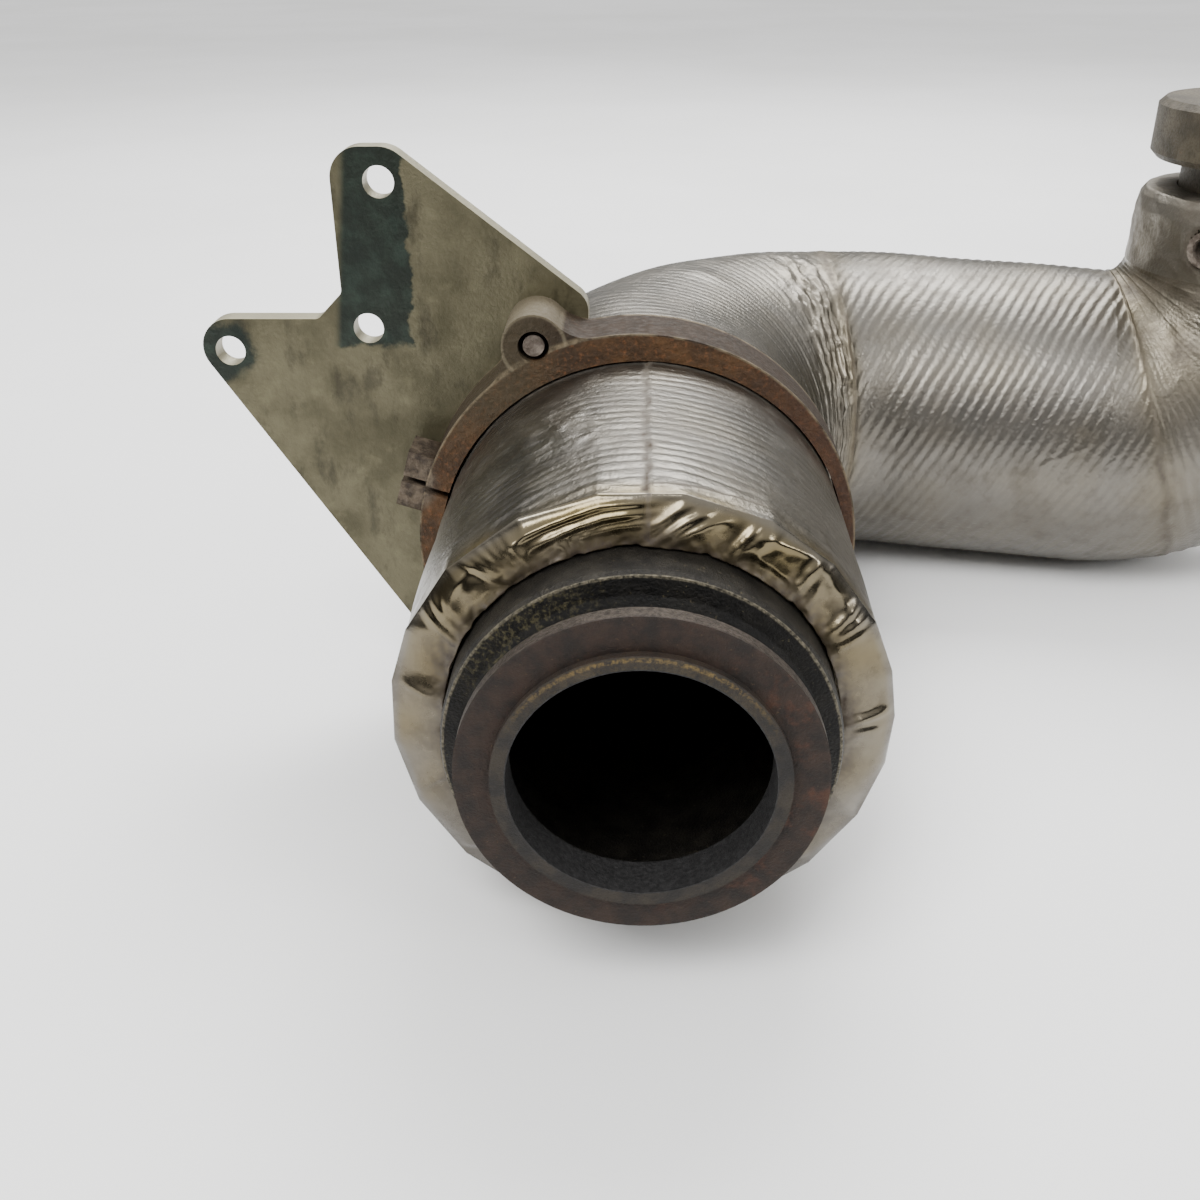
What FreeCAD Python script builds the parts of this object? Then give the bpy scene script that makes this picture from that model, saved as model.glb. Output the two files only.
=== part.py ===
import FreeCAD, Part
import math
import os

import Sketcher

# Insulated exhaust pipe with three legs.
# The inlet leg runs back along +Y from the turned inlet flange, a bend turns it to the right,
# and a tight elbow turns it up into a short outlet neck with a plain thick collar.
# A fibre mat and a thin creased foil skin cover the steel pipe. A split clamp ring grips the inlet
# leg and carries a flat steel bracket plate. The origin is the centre of the inlet's sealing face.

Vector = FreeCAD.Vector
X_AXIS = Vector(1, 0, 0)
Y_AXIS = Vector(0, 1, 0)
Z_AXIS = Vector(0, 0, 1)

# Driving dimensions, in millimetres and degrees: name, value, what it measures.
SIZES = (
    ("bore_radius", 35.3, "throat of the inlet flange"),
    ("lip_radius", 39.5, "outside of the pilot lip"),
    ("lip_rise", 2.3, "height of the pilot lip above the face"),
    ("rim_radius", 49.25, "outside of the inlet's clamping rim"),
    ("rim_width", 5.0, "width of the clamping rim"),
    ("groove_radius", 44.0, "floor of the clamp groove"),
    ("groove_width", 8.0, "width of the groove at its mouth"),
    ("groove_flank", 1.8, "run of each sloping flank of the groove"),
    ("shoulder_drop", 0.7, "how far the shoulder's front edge is below the pipe"),
    ("shoulder_chamfer", 1.9, "run of the shoulder's chamfer"),
    ("throat_length", 12.7, "length of the flange's throat"),
    ("throat_flare", 8.5, "run of the flare behind the throat"),
    ("flange_tail", 175.0, "plain length behind the shoulder, up to the weld"),
    ("pipe_radius", 54.5, "outside of the steel pipe"),
    ("pipe_wall", 2.0, "wall of the steel pipe"),
    ("bend_start", 209.5, "where the rear bend begins"),
    ("bend_radius", 104.0, "centre line of the rear bend"),
    ("bend_angle", 97.9, "turn of the rear bend"),
    ("rear_roll", 2.5, "turn of the rear legs about the inlet axis"),
    ("middle_length", 146.5, "end of the bend to the outlet axis"),
    ("inlet_lag_depth", 16.7, "mat and foil on the inlet leg, from steel to skin"),
    ("inlet_lag_sag", 2.0, "how far that skin hangs below the pipe's axis"),
    ("middle_lag_depth", 13.0, "mat and foil on the middle leg"),
    ("outlet_lag_depth", 16.5, "mat and foil on the outlet neck"),
    ("foil_gauge", 0.6, "foil skin with its seams, as one thickness"),
    ("crease_depth", 0.8, "depth of the foil's creases"),
    ("crease_step", 9.0, "from one crease to the next"),
    ("foil_front", 26.6, "torn front edge of the foil"),
    ("cap_depth", 4.4, "front edge of the foil to its shoulder"),
    ("pleat_depth", 1.3, "depth of the gathered pleats"),
    ("mat_clearance", 0.3, "gap between the pipe and the mat"),
    ("mat_ease", 1.0, "extra ease of the mat in the bend and the elbow"),
    ("gather_depth", 2.2, "extra height of the folds at the bend's inner end"),
    ("gather_angle", 140.0, "where those folds are highest, round from the bend's outside"),
    ("elbow_pinch", 6.0, "radius of the outlet elbow's inner corner"),
    ("elbow_bulge", 0.1, "extra height of the outlet elbow's corner"),
    ("neck_radius", 35.5, "outside of the outlet neck"),
    ("neck_top", 107.5, "underside of the outlet collar"),
    ("collar_radius", 49.25, "outside of the outlet collar"),
    ("collar_height", 23.5, "height of the outlet collar"),
    ("collar_round", 2.5, "rounded edges of the outlet collar"),
    ("outlet_cap_top", 96.5, "top of the foil on the outlet neck"),
    ("outlet_cap_round", 6.0, "rounded shoulder of that foil"),
    ("boss_radius", 7.3, "sensor boss"),
    ("boss_bore", 5.0, "bore of the sensor boss"),
    ("boss_height", 79.0, "axis of the sensor boss"),
    ("boss_bearing", 226.0, "direction of the sensor boss about the neck"),
    ("boss_stand", 2.6, "how far the boss stands out of the foil"),
    ("ring_front", 136.8, "front face of the clamp ring"),
    ("ring_depth", 23.9, "depth of the clamp ring"),
    ("ring_wall", 5.5, "wall of the clamp ring, less the shift of its outside"),
    ("ring_shift_x", -2.0, "centre of the ring's outside, across"),
    ("ring_shift_z", 1.5, "centre of the ring's outside, up"),
    ("ring_fit", 0.3, "gap between the ring and the foil"),
    ("ear_bearing", 115.29, "direction of the ear and its bolt from the ring's centre"),
    ("ear_stand", 3.3, "how far the bolt's axis is outside the ring"),
    ("ear_radius", 10.7, "round end of the ear"),
    ("ear_blend", 14.0, "hollow blend between the ear and the ring"),
    ("ear_hole", 5.2, "clearance hole in the ear"),
    ("split_angle", 163.0, "direction of the ring's split"),
    ("split_gap", 2.5, "width of the split"),
    ("lug_stand", 11.0, "how far the split's lugs stand out of the ring"),
    ("lug_root", 3.0, "how deep the lugs are rooted in the ring"),
    ("split_over", 6.0, "how far the split's cut runs past the metal at each end"),
    ("lug_width", 9.0, "width of each lug"),
    ("lug_depth", 16.0, "depth of each lug"),
    ("plate_thickness", 8.0, "bracket plate"),
    ("plate_left", -103.6, "left edge of the bracket plate"),
    ("plate_top", 133.4, "top edge of the bracket plate"),
    ("plate_right", -19.0, "right end of the bracket plate"),
    ("plate_bottom", -66.0, "lower end of the bracket plate"),
    ("prong_top", 76.6, "top edge of the left prong"),
    ("notch_size", 9.0, "short slanting edge between prong and top lobe"),
    ("plate_fit", 0.4, "gap between the plate and the foil"),
    ("upper_slope", 37.8, "slope of the upper right edge"),
    ("upper_inset", 16.9, "how far the upper right edge's line is inside the foil's radius"),
    ("lower_slope", 57.7, "slope of the lower left edge"),
    ("lower_stand", 25.5, "how far the lower left edge's line is outside the foil's radius"),
    ("lobe_radius", 10.3, "rounded lobes of the bracket plate"),
    ("end_round", 8.0, "rounded ends of the bracket plate's arms"),
    ("notch_round", 3.0, "rounded inner corners of the bracket plate"),
    ("fixing_hole", 5.25, "fixing holes in the bracket plate"),
    ("hole_a_x", -87.6, "upper fixing hole, across"),
    ("hole_a_z", 122.3, "upper fixing hole, up"),
    ("hole_b_x", -95.3, "middle fixing hole, across"),
    ("hole_b_z", 73.4, "middle fixing hole, up"),
    ("hole_c_x", -144.9, "left fixing hole, across"),
    ("hole_c_z", 65.3, "left fixing hole, up"),
    ("bolt_radius", 3.6, "shank of the ear's bolt"),
    ("bolt_sink", 1.5, "how far the bolt's end is below the ear's face"),
    ("bolt_fit", 0.1, "gap between the bolt and the plate"),
    ("head_flats", 13.0, "bolt head across its flats"),
    ("head_height", 5.3, "bolt head"),
    ("inlet_lag_radius", "=pipe_radius + inlet_lag_depth", "worked out: skin on the inlet leg"),
    ("middle_lag_radius", "=pipe_radius + middle_lag_depth", "worked out: skin on the middle leg"),
    ("outlet_lag_radius", "=neck_radius + outlet_lag_depth", "worked out: skin on the neck"),
    ("ring_radius", "=inlet_lag_radius + ring_fit + ring_wall", "worked out: outside of the ring"),
    ("ear_x", "=ring_shift_x + (ring_radius + ear_stand) * cos(ear_bearing)", "worked out: ear"),
    ("ear_z", "=ring_shift_z + (ring_radius + ear_stand) * sin(ear_bearing)", "worked out: ear"),
    ("lug_reach", "=ring_radius + lug_stand", "worked out: outer end of the lugs"),
    ("upper_reach", "=inlet_lag_radius - upper_inset", "worked out: upper edge to the axis"),
    ("lower_reach", "=inlet_lag_radius + lower_stand", "worked out: lower edge to the axis"),
)

# How finely the folded foil and the bends are drawn.
SIDES = 24
CAP_SIDES = 48
MAT_SIDES = 12
BEND_GORES = 3
FOIL_GORES = 13
LINING_GORES = 7
MAT_GORES = 5
ELBOW_STEPS = 4
FOIL_ELBOW_STEPS = 6
PLEAT_WAVES = (9, 13, 17)

doc = FreeCAD.newDocument("exhaust_pipe")
sheet = doc.addObject("Spreadsheet::Sheet", "Sizes")


def add_size(row, alias, value, note):
    """One row of the sheet: what is measured, and its value under an alias."""
    sheet.set(f"A{row}", note)
    sheet.set(f"B{row}", str(value))
    sheet.setAlias(f"B{row}", alias)


for row, entry in enumerate(SIZES, start=1):
    add_size(row, *entry)
doc.recompute()


def size(alias):
    """A driving dimension, read from the sheet."""
    return float(sheet.get(alias))


# Sketches and bodies


def origin_plane(body, role):
    """One of a body's own origin planes."""
    return next(f for f in body.Origin.OriginFeatures if f.Role == role)


def new_sketch(body, name, role, offset="0"):
    """A sketch on one of the body's origin planes, moved along the plane's normal."""
    sketch = body.newObject("Sketcher::SketchObject", name)
    sketch.AttachmentSupport = [(origin_plane(body, role), "")]
    sketch.MapMode = "FlatFace"
    sketch.setExpression("AttachmentOffset.Base.z", offset)
    return sketch


def place_point(sketch, geometry, corner, across, up):
    """Ties a point of a sketch to two formulas of the sheet."""
    for kind, formula in (("DistanceX", across), ("DistanceY", up)):
        value = float(sketch.evalExpression(formula))
        index = sketch.addConstraint(Sketcher.Constraint(kind, -1, 1, geometry, corner, value))
        sketch.setExpression(f"Constraints[{index}]", formula)


def draw_outline(sketch, points):
    """A closed outline of straight lines through points given as pairs of formulas."""
    places = [Vector(*(float(sketch.evalExpression(f)) for f in pair), 0) for pair in points]
    count = len(points)
    for i in range(count):
        sketch.addGeometry(Part.LineSegment(places[i], places[(i + 1) % count]), False)
    for i in range(count):
        sketch.addConstraint(Sketcher.Constraint("Coincident", i, 2, (i + 1) % count, 1))
    for i, (across, up) in enumerate(points):
        place_point(sketch, i, 1, across, up)


def draw_circle(sketch, radius, across="0", up="0"):
    """A circle whose centre and radius are formulas of the sheet."""
    centre = Vector(float(sketch.evalExpression(across)), float(sketch.evalExpression(up)), 0)
    circle = Part.Circle(centre, Z_AXIS, float(sketch.evalExpression(radius)))
    index = sketch.addGeometry(circle, False)
    place_point(sketch, index, 3, across, up)
    constraint = sketch.addConstraint(Sketcher.Constraint("Radius", index, circle.Radius))
    sketch.setExpression(f"Constraints[{constraint}]", radius)


def new_body(name):
    """A PartDesign body whose label names the sub-part."""
    body = doc.addObject("PartDesign::Body", name)
    body.Label = name
    return body


def revolve(body, sketch):
    """Turns a sketch about its own vertical axis."""
    turned = body.newObject("PartDesign::Revolution", f"{body.Name}_turned")
    turned.Profile = sketch
    turned.ReferenceAxis = (sketch, ["V_Axis"])
    turned.Angle = 360
    doc.recompute()


def pad(body, sketch, length):
    """Raises a sketch on the XZ plane towards +Y."""
    padded = body.newObject("PartDesign::Pad", f"{sketch.Name}_pad")
    padded.Profile = sketch
    padded.Reversed = True
    padded.setExpression("Length", length)
    doc.recompute()
    return padded


def pocket(body, sketch):
    """Cuts a sketch through the whole body, and checks that it took something away."""
    before = body.Shape.Volume
    cut = body.newObject("PartDesign::Pocket", f"{sketch.Name}_pocket")
    cut.Profile = sketch
    cut.Type = "ThroughAll"
    cut.Midplane = True
    doc.recompute()
    if body.Shape.Volume >= before:
        raise RuntimeError(f"{sketch.Name} cut nothing")


def upright_edges(shape, places, reach):
    """Names of the straight edges along Y that pass within reach of the given (x, z) places."""
    names = []
    for number, edge in enumerate(shape.Edges, start=1):
        first, last = edge.Vertexes[0].Point, edge.Vertexes[-1].Point
        along_y = abs(first.x - last.x) < 1e-3 and abs(first.z - last.z) < 1e-3
        if not along_y or abs(first.y - last.y) < 1:
            continue
        if any(math.hypot(first.x - x, first.z - z) < reach for x, z in places):
            names.append(f"Edge{number}")
    return names


def fillet(body, base, places, reach, radius, name):
    """Rounds a body's upright edges at the given places."""
    rounded = body.newObject("PartDesign::Fillet", name)
    rounded.Base = (base, upright_edges(base.Shape, places, reach))
    rounded.setExpression("Radius", radius)
    doc.recompute()
    return rounded


# Folded skins: solids between rings of points


def ring(centre, across, up, radius_across, radius_up, sides=SIDES):
    """A many-sided ring of points about a centre, in the plane of two directions."""
    turns = [2 * math.pi * i / sides for i in range(sides)]
    return [
        centre + across * (radius_across * math.cos(t)) + up * (radius_up * math.sin(t))
        for t in turns
    ]


def facets(lower, upper):
    """Flat faces between two rings: one for each side where it is flat, otherwise two triangles."""
    count = len(lower)
    faces = []
    for i in range(count):
        a, b = lower[i], upper[i]
        c, d = upper[(i + 1) % count], lower[(i + 1) % count]
        normal = (b - a).cross(c - a).normalize()
        flat = abs(normal.dot(d - a)) < 1e-6
        loops = ([a, b, c, d],) if flat else ([a, b, c], [a, c, d])
        faces += [Part.Face(Part.makePolygon(loop + loop[:1])) for loop in loops]
    return faces


def skin(outer, inner):
    """The solid between an outer and an inner row of rings, closed at both ends."""
    faces = facets(outer[0], inner[0]) + facets(outer[-1], inner[-1])
    for row in (outer, inner):
        for lower, upper in zip(row, row[1:]):
            faces += facets(lower, upper)
    shell = Part.Shell(faces)
    shell.sewShape()
    solid = Part.Solid(shell)
    if solid.Volume < 0:
        solid.reverse()
    return solid


def add_feature(name, shape):
    """A sub-part whose shape is worked out from the sheet."""
    feature = doc.addObject("Part::Feature", name)
    feature.Label = name
    feature.Shape = shape
    return feature


def around(radius, sides=SIDES):
    """The radius of a many-sided ring whose flats just clear a round pipe of the given radius."""
    return radius / math.cos(math.pi / sides)


def within(radius):
    """The radius of a round form that just clears the flats of a foil ring of the given radius."""
    return radius * math.cos(math.pi / SIDES)


# Centre line of the rear legs: drawn flat, then rolled about the inlet axis

bend_start = size("bend_start")
bend_radius = size("bend_radius")
bend_turn = math.radians(size("bend_angle"))
bend_hub = Vector(bend_radius, bend_start, 0)
roll = FreeCAD.Rotation(Y_AXIS, size("rear_roll"))


def outward_at(angle):
    """Direction away from the rear bend's hub, at an angle of the turn."""
    return Vector(-math.cos(angle), math.sin(angle), 0)


middle_start = bend_hub + outward_at(bend_turn) * bend_radius
middle_along = outward_at(bend_turn + math.pi / 2)
outlet_centre = roll.multVec(middle_start + middle_along * size("middle_length"))

# The outlet elbow: its cuts turn about a hinge line at the elbow's inner corner

middle_lag = size("middle_lag_radius")
outlet_lag = size("outlet_lag_radius")
elbow_along = roll.multVec(middle_along)
elbow_turn = elbow_along.getAngle(Z_AXIS)
elbow_side = elbow_along.cross(Z_AXIS).normalize()
elbow_up = elbow_side.cross(elbow_along)
start_reach = middle_lag + size("elbow_pinch")
end_reach = outlet_lag + size("elbow_pinch")
elbow_back = (end_reach - start_reach * math.cos(elbow_turn)) / math.sin(elbow_turn)
elbow_hinge = outlet_centre - elbow_along * elbow_back + elbow_up * start_reach
middle_end = middle_start + middle_along * (size("middle_length") - elbow_back)
elbow_top = elbow_hinge.z
inlet_across = roll.multVec(X_AXIS * -1)
inlet_up = roll.multVec(Z_AXIS)


def elbow_cut(share):
    """Centre, outward direction and radial stretch of the outlet elbow's cut, 0 at the middle leg."""
    angle = elbow_turn * share
    outward = elbow_along * math.sin(angle) - elbow_up * math.cos(angle)
    stretch = 1 + size("elbow_bulge") * math.sin(math.pi * share)
    lag = middle_lag + (outlet_lag - middle_lag) * share
    return elbow_hinge + outward * (lag * stretch + size("elbow_pinch")), outward, stretch


def elbow_rings(first_radius, last_radius, steps, sides=SIDES, stretched=True):
    """Rings through the outlet elbow whose radius changes evenly between two values."""
    rings = []
    for i in range(steps + 1):
        centre, outward, stretch = elbow_cut(i / steps)
        radius = first_radius + (last_radius - first_radius) * i / steps
        across = radius * stretch if stretched else radius
        rings.append(ring(centre, outward, elbow_side, across, radius, sides))
    return rings


def no_fold(number, share, turn):
    """A bend whose rings are plain."""
    return 0.0


def bend_rings(gores, first_radius, last_radius, first_sag=0.0, fold=no_fold, sides=SIDES):
    """Rings at the mitres of a bend made of straight gores, with its two plain ends.

    The sag fades out along the bend. A fold function of the station's number, its share of the
    bend and the turn around the ring gives how far each point stands out.
    """
    half = bend_turn / gores / 2
    stations = [0.0] + [(i + 0.5) / gores for i in range(gores)] + [1.0]
    rings = []
    for number, share in enumerate(stations):
        mitre = math.cos(half) if 0 < share < 1 else 1.0
        outward = outward_at(bend_turn * share)
        centre = bend_hub + outward * (bend_radius / mitre) - Z_AXIS * (first_sag * (1 - share))
        radius = first_radius + (last_radius - first_radius) * share
        points = []
        for i in range(sides):
            turn = 2 * math.pi * i / sides
            arm = outward * (math.cos(turn) / mitre) + Z_AXIS * math.sin(turn)
            points.append(roll.multVec(centre + arm * (radius + fold(number, share, turn))))
        rings.append(points)
    return rings


def middle_ring(share, radius, sides=SIDES):
    """A ring of the middle leg, between the bend and the outlet elbow."""
    centre = middle_start + (middle_end - middle_start) * share
    points = ring(centre, outward_at(bend_turn), Z_AXIS, radius, radius, sides)
    return [roll.multVec(p) for p in points]


def inlet_ring(y, radius, sag=0.0, sides=SIDES):
    """A ring of the inlet leg, its points in line with those of the bend."""
    return ring(Vector(0, y, -sag), inlet_across, inlet_up, radius, radius, sides)


def neck_ring(z, radius, sides=SIDES):
    """A ring of the upright outlet neck."""
    centre = Vector(outlet_centre.x, outlet_centre.y, z)
    outward = elbow_cut(1)[1]
    return ring(centre, outward, elbow_side, radius, radius, sides)


def creased(length):
    """Shares and drops of an even row of creases along a length, high and low by turns."""
    count = 2 * max(1, round(length / size("crease_step") / 2))
    depth = size("crease_depth")
    return [(i / count, depth * ((i + 1) % 2)) for i in range(count + 1)]


# Steel pipe

SHOULDER = "Sizes.rim_width + Sizes.groove_width"
FLANGE_BACK = f"{SHOULDER} + Sizes.shoulder_chamfer + Sizes.flange_tail"
inlet_flange = new_body("inlet_flange")
flange_sketch = new_sketch(inlet_flange, "flange_section", "XY_Plane")
draw_outline(
    flange_sketch,
    (
        ("Sizes.bore_radius", "-Sizes.lip_rise"),
        ("Sizes.lip_radius", "-Sizes.lip_rise"),
        ("Sizes.lip_radius", "0"),
        ("Sizes.rim_radius", "0"),
        ("Sizes.rim_radius", "Sizes.rim_width"),
        ("Sizes.groove_radius", "Sizes.rim_width + Sizes.groove_flank"),
        ("Sizes.groove_radius", f"{SHOULDER} - Sizes.groove_flank"),
        ("Sizes.pipe_radius - Sizes.shoulder_drop", SHOULDER),
        ("Sizes.pipe_radius", f"{SHOULDER} + Sizes.shoulder_chamfer"),
        ("Sizes.pipe_radius", FLANGE_BACK),
        ("Sizes.pipe_radius - Sizes.pipe_wall", FLANGE_BACK),
        (
            "Sizes.pipe_radius - Sizes.pipe_wall",
            "Sizes.throat_length - Sizes.lip_rise + Sizes.throat_flare",
        ),
        ("Sizes.bore_radius", "Sizes.throat_length - Sizes.lip_rise"),
    ),
)
revolve(inlet_flange, flange_sketch)

flange_back = float(sheet.evalExpression(FLANGE_BACK))
pipe_radius = size("pipe_radius")
pipe_bore = pipe_radius - size("pipe_wall")
neck_radius = size("neck_radius")
neck_bore = neck_radius - size("pipe_wall")


def gas_rings(radius):
    """Rings of the pipe's inside or outside, from the flange through the gored bend to the elbow."""
    gored = bend_rings(BEND_GORES, radius, radius)
    return [inlet_ring(flange_back, radius)] + gored + [middle_ring(1, radius)]


gas_tube = add_feature("gas_tube", skin(gas_rings(pipe_radius), gas_rings(pipe_bore)))
outlet_elbow = add_feature(
    "outlet_elbow",
    skin(
        elbow_rings(pipe_radius, neck_radius, ELBOW_STEPS, stretched=False),
        elbow_rings(pipe_bore, neck_bore, ELBOW_STEPS, stretched=False),
    ),
)

# Outlet neck with its collar, and the sensor boss on the neck

boss_out = FreeCAD.Rotation(Z_AXIS, size("boss_bearing")).multVec(X_AXIS)
neck_axis = Vector(outlet_centre.x, outlet_centre.y, 0)
boss_foot = neck_axis + Z_AXIS * size("boss_height")
boss_end = outlet_lag + size("boss_stand")

add_size(len(SIZES) + 1, "neck_start", elbow_top, "worked out: top of the outlet elbow")
doc.recompute()
COLLAR_TOP = "Sizes.neck_top + Sizes.collar_height"
NECK_BORE = "Sizes.neck_radius - Sizes.pipe_wall"
outlet_collar = new_body("outlet_collar")
collar_sketch = new_sketch(outlet_collar, "collar_section", "XZ_Plane")
draw_outline(
    collar_sketch,
    (
        (NECK_BORE, "Sizes.neck_start"),
        ("Sizes.neck_radius", "Sizes.neck_start"),
        ("Sizes.neck_radius", "Sizes.neck_top"),
        ("Sizes.collar_radius - Sizes.collar_round", "Sizes.neck_top"),
        ("Sizes.collar_radius", "Sizes.neck_top + Sizes.collar_round"),
        ("Sizes.collar_radius", f"{COLLAR_TOP} - Sizes.collar_round"),
        ("Sizes.collar_radius - Sizes.collar_round", COLLAR_TOP),
        (NECK_BORE, COLLAR_TOP),
    ),
)
revolve(outlet_collar, collar_sketch)
boss_hole = outlet_collar.newObject("PartDesign::SubtractiveCylinder", "boss_hole")
boss_hole.setExpression("Radius", "Sizes.boss_bore")
boss_hole.setExpression("Height", "Sizes.neck_radius + Sizes.boss_stand")
boss_turn = FreeCAD.Rotation(Z_AXIS, boss_out)
boss_hole.Placement = FreeCAD.Placement(Z_AXIS * size("boss_height"), boss_turn)
outlet_collar.Placement.Base = neck_axis
doc.recompute()


def boss_rod(radius, first, last):
    """A round rod along the boss's axis, between two distances from the neck's axis."""
    return Part.makeCylinder(radius, last - first, boss_foot + boss_out * first, boss_out)


neck_core = Part.makeCylinder(neck_radius, size("neck_top"), neck_axis)
boss_tube = boss_rod(size("boss_radius"), neck_bore, boss_end)
boss_bore = boss_rod(size("boss_bore"), 0, boss_end)
sensor_boss = add_feature("sensor_boss", boss_tube.cut(neck_core).cut(boss_bore))
boss_space = boss_rod(size("boss_radius") + size("mat_clearance"), 0, boss_end)

# Foil skins, each a folded sheet of the foil's gauge

foil_gauge = size("foil_gauge")
crease_depth = size("crease_depth")
inlet_lag = size("inlet_lag_radius")
sag = size("inlet_lag_sag")
foil_front = size("foil_front")
shoulder_y = foil_front + size("cap_depth")
joint_y = size("ring_front") + size("ring_depth") / 2
inlet_inside = inlet_lag - crease_depth - foil_gauge
middle_inside = middle_lag - crease_depth - foil_gauge
outlet_inside = outlet_lag - foil_gauge
gather_turn = math.radians(size("gather_angle"))

mat_ease = size("mat_ease")

# Fewer gores stand further out at their mitres, so the bend foil's inside is that much smaller.
lining = (bend_radius + inlet_lag) * (1 / math.cos(bend_turn / LINING_GORES / 2) - 1)
mat_inset = (bend_radius + inlet_lag) * (1 / math.cos(bend_turn / MAT_GORES / 2) - 1)
mat_inset += mat_ease


def inlet_rows(start, end):
    """Creased rings of the inlet leg's foil between two stations."""
    return [
        inlet_ring(start + (end - start) * share, inlet_lag - drop, sag)
        for share, drop in creased(end - start)
    ]


def bend_fold(number, share, turn):
    """Low and high creases by turns, the high ones gathered up at the bend's inner end."""
    if number % 2 == 0:
        return -crease_depth
    gathered = max(0.0, math.cos(turn - gather_turn)) ** 2 * max(0.0, math.sin(math.pi * share**2))
    return size("gather_depth") * gathered


inlet_foil = add_feature(
    "inlet_foil",
    skin(
        inlet_rows(shoulder_y, joint_y),
        [inlet_ring(y, inlet_inside, sag) for y in (shoulder_y + foil_gauge, joint_y)],
    ),
)
bend_foil = add_feature(
    "bend_foil",
    skin(
        inlet_rows(joint_y, bend_start)[:-1]
        + bend_rings(FOIL_GORES, inlet_lag, middle_lag, sag, bend_fold),
        [inlet_ring(joint_y, inlet_inside, sag)]
        + bend_rings(LINING_GORES, inlet_inside - lining, middle_inside - lining, sag)[:-1]
        + [middle_ring(0, middle_inside)],
    ),
)
middle_foil = add_feature(
    "middle_foil",
    skin(
        [
            middle_ring(share, middle_lag - drop)
            for share, drop in creased((middle_end - middle_start).Length)
        ],
        [middle_ring(share, middle_inside) for share in (0, 1)],
    ),
)
elbow_foil = add_feature(
    "elbow_foil",
    skin(
        elbow_rings(middle_lag - crease_depth, outlet_lag, FOIL_ELBOW_STEPS),
        elbow_rings(middle_inside, outlet_inside, FOIL_ELBOW_STEPS),
    ),
)


def pleat(angle):
    """Uneven gathers around a cap, between -1 and 1."""
    waves = [math.sin(wave * angle + shift) for shift, wave in enumerate(PLEAT_WAVES)]
    return sum(waves) / len(waves)


def inlet_cap(lift):
    """One side of the gathered foil cap, from the torn edge out to the shoulder.

    Towards the shoulder every other point sinks to the flats of the foil that it meets there.
    """
    first = pipe_radius + size("mat_clearance")
    last = inlet_lag - crease_depth - lift
    rings = []
    for share, gather in ((0.0, 0.2), (0.35, 1.0), (0.75, 0.6), (1.0, 0.0)):
        y = foil_front + size("cap_depth") * share**2 + lift
        radius = first + (last - first) * share
        sunk = radius * (1 + (math.cos(math.pi / SIDES) - 1) * share)
        points = []
        for i in range(CAP_SIDES):
            angle = 2 * math.pi * i / CAP_SIDES
            reach = sunk if i % 2 else radius
            depth = size("pleat_depth") * gather * pleat(angle)
            centre = Vector(0, y + depth, -sag * share)
            arm = inlet_across * math.cos(angle) + inlet_up * math.sin(angle)
            points.append(centre + arm * reach)
        rings.append(points)
    return rings


inlet_foil_cap = add_feature("inlet_foil_cap", skin(inlet_cap(0), inlet_cap(foil_gauge)))


def outlet_cap(lift):
    """One side of the foil cap on the outlet neck, from the elbow up and in to the neck."""
    top = size("outlet_cap_top") - lift
    rounding = size("outlet_cap_round")
    rows = (
        (elbow_top, outlet_lag),
        (elbow_top + rounding, outlet_lag - crease_depth),
        (top - rounding, outlet_lag - crease_depth),
        (top - rounding / 3, outlet_lag - rounding / 3),
        (top, outlet_lag - rounding),
    )
    rings = [neck_ring(z, radius - lift) for z, radius in rows]
    return rings + [neck_ring(top, around(neck_radius))]


outlet_foil_cap = add_feature(
    "outlet_foil_cap", skin(outlet_cap(0), outlet_cap(foil_gauge)).cut(boss_space)
)

# Fibre mats between the pipe and the foil

mat_clearance = size("mat_clearance")
mat_bore = around(pipe_radius + mat_clearance, MAT_SIDES)
mat_neck_bore = around(neck_radius + mat_clearance, MAT_SIDES)
inlet_mat_radius = within(inlet_inside) - mat_clearance
middle_mat_radius = within(middle_inside) - mat_clearance
outlet_mat_radius = within(outlet_inside - crease_depth) - mat_clearance
mat_front = shoulder_y + foil_gauge
mat_top = size("outlet_cap_top") - foil_gauge - mat_clearance
mat_round = mat_top - size("outlet_cap_round")

inlet_mat = add_feature(
    "inlet_mat",
    skin(
        [inlet_ring(y, inlet_mat_radius, sag, MAT_SIDES) for y in (mat_front, joint_y)],
        [inlet_ring(y, mat_bore, 0, MAT_SIDES) for y in (mat_front, joint_y)],
    ),
)
bend_mat = add_feature(
    "bend_mat",
    skin(
        [inlet_ring(joint_y, inlet_mat_radius, sag, MAT_SIDES)]
        + bend_rings(
            MAT_GORES,
            inlet_mat_radius - mat_inset,
            middle_mat_radius - mat_inset,
            sag,
            sides=MAT_SIDES,
        ),
        [inlet_ring(joint_y, mat_bore, 0, MAT_SIDES)]
        + bend_rings(BEND_GORES, mat_bore, mat_bore, sides=MAT_SIDES),
    ),
)
middle_mat = add_feature(
    "middle_mat",
    skin(
        [middle_ring(share, middle_mat_radius, MAT_SIDES) for share in (0, 1)],
        [middle_ring(share, mat_bore, MAT_SIDES) for share in (0, 1)],
    ),
)
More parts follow.
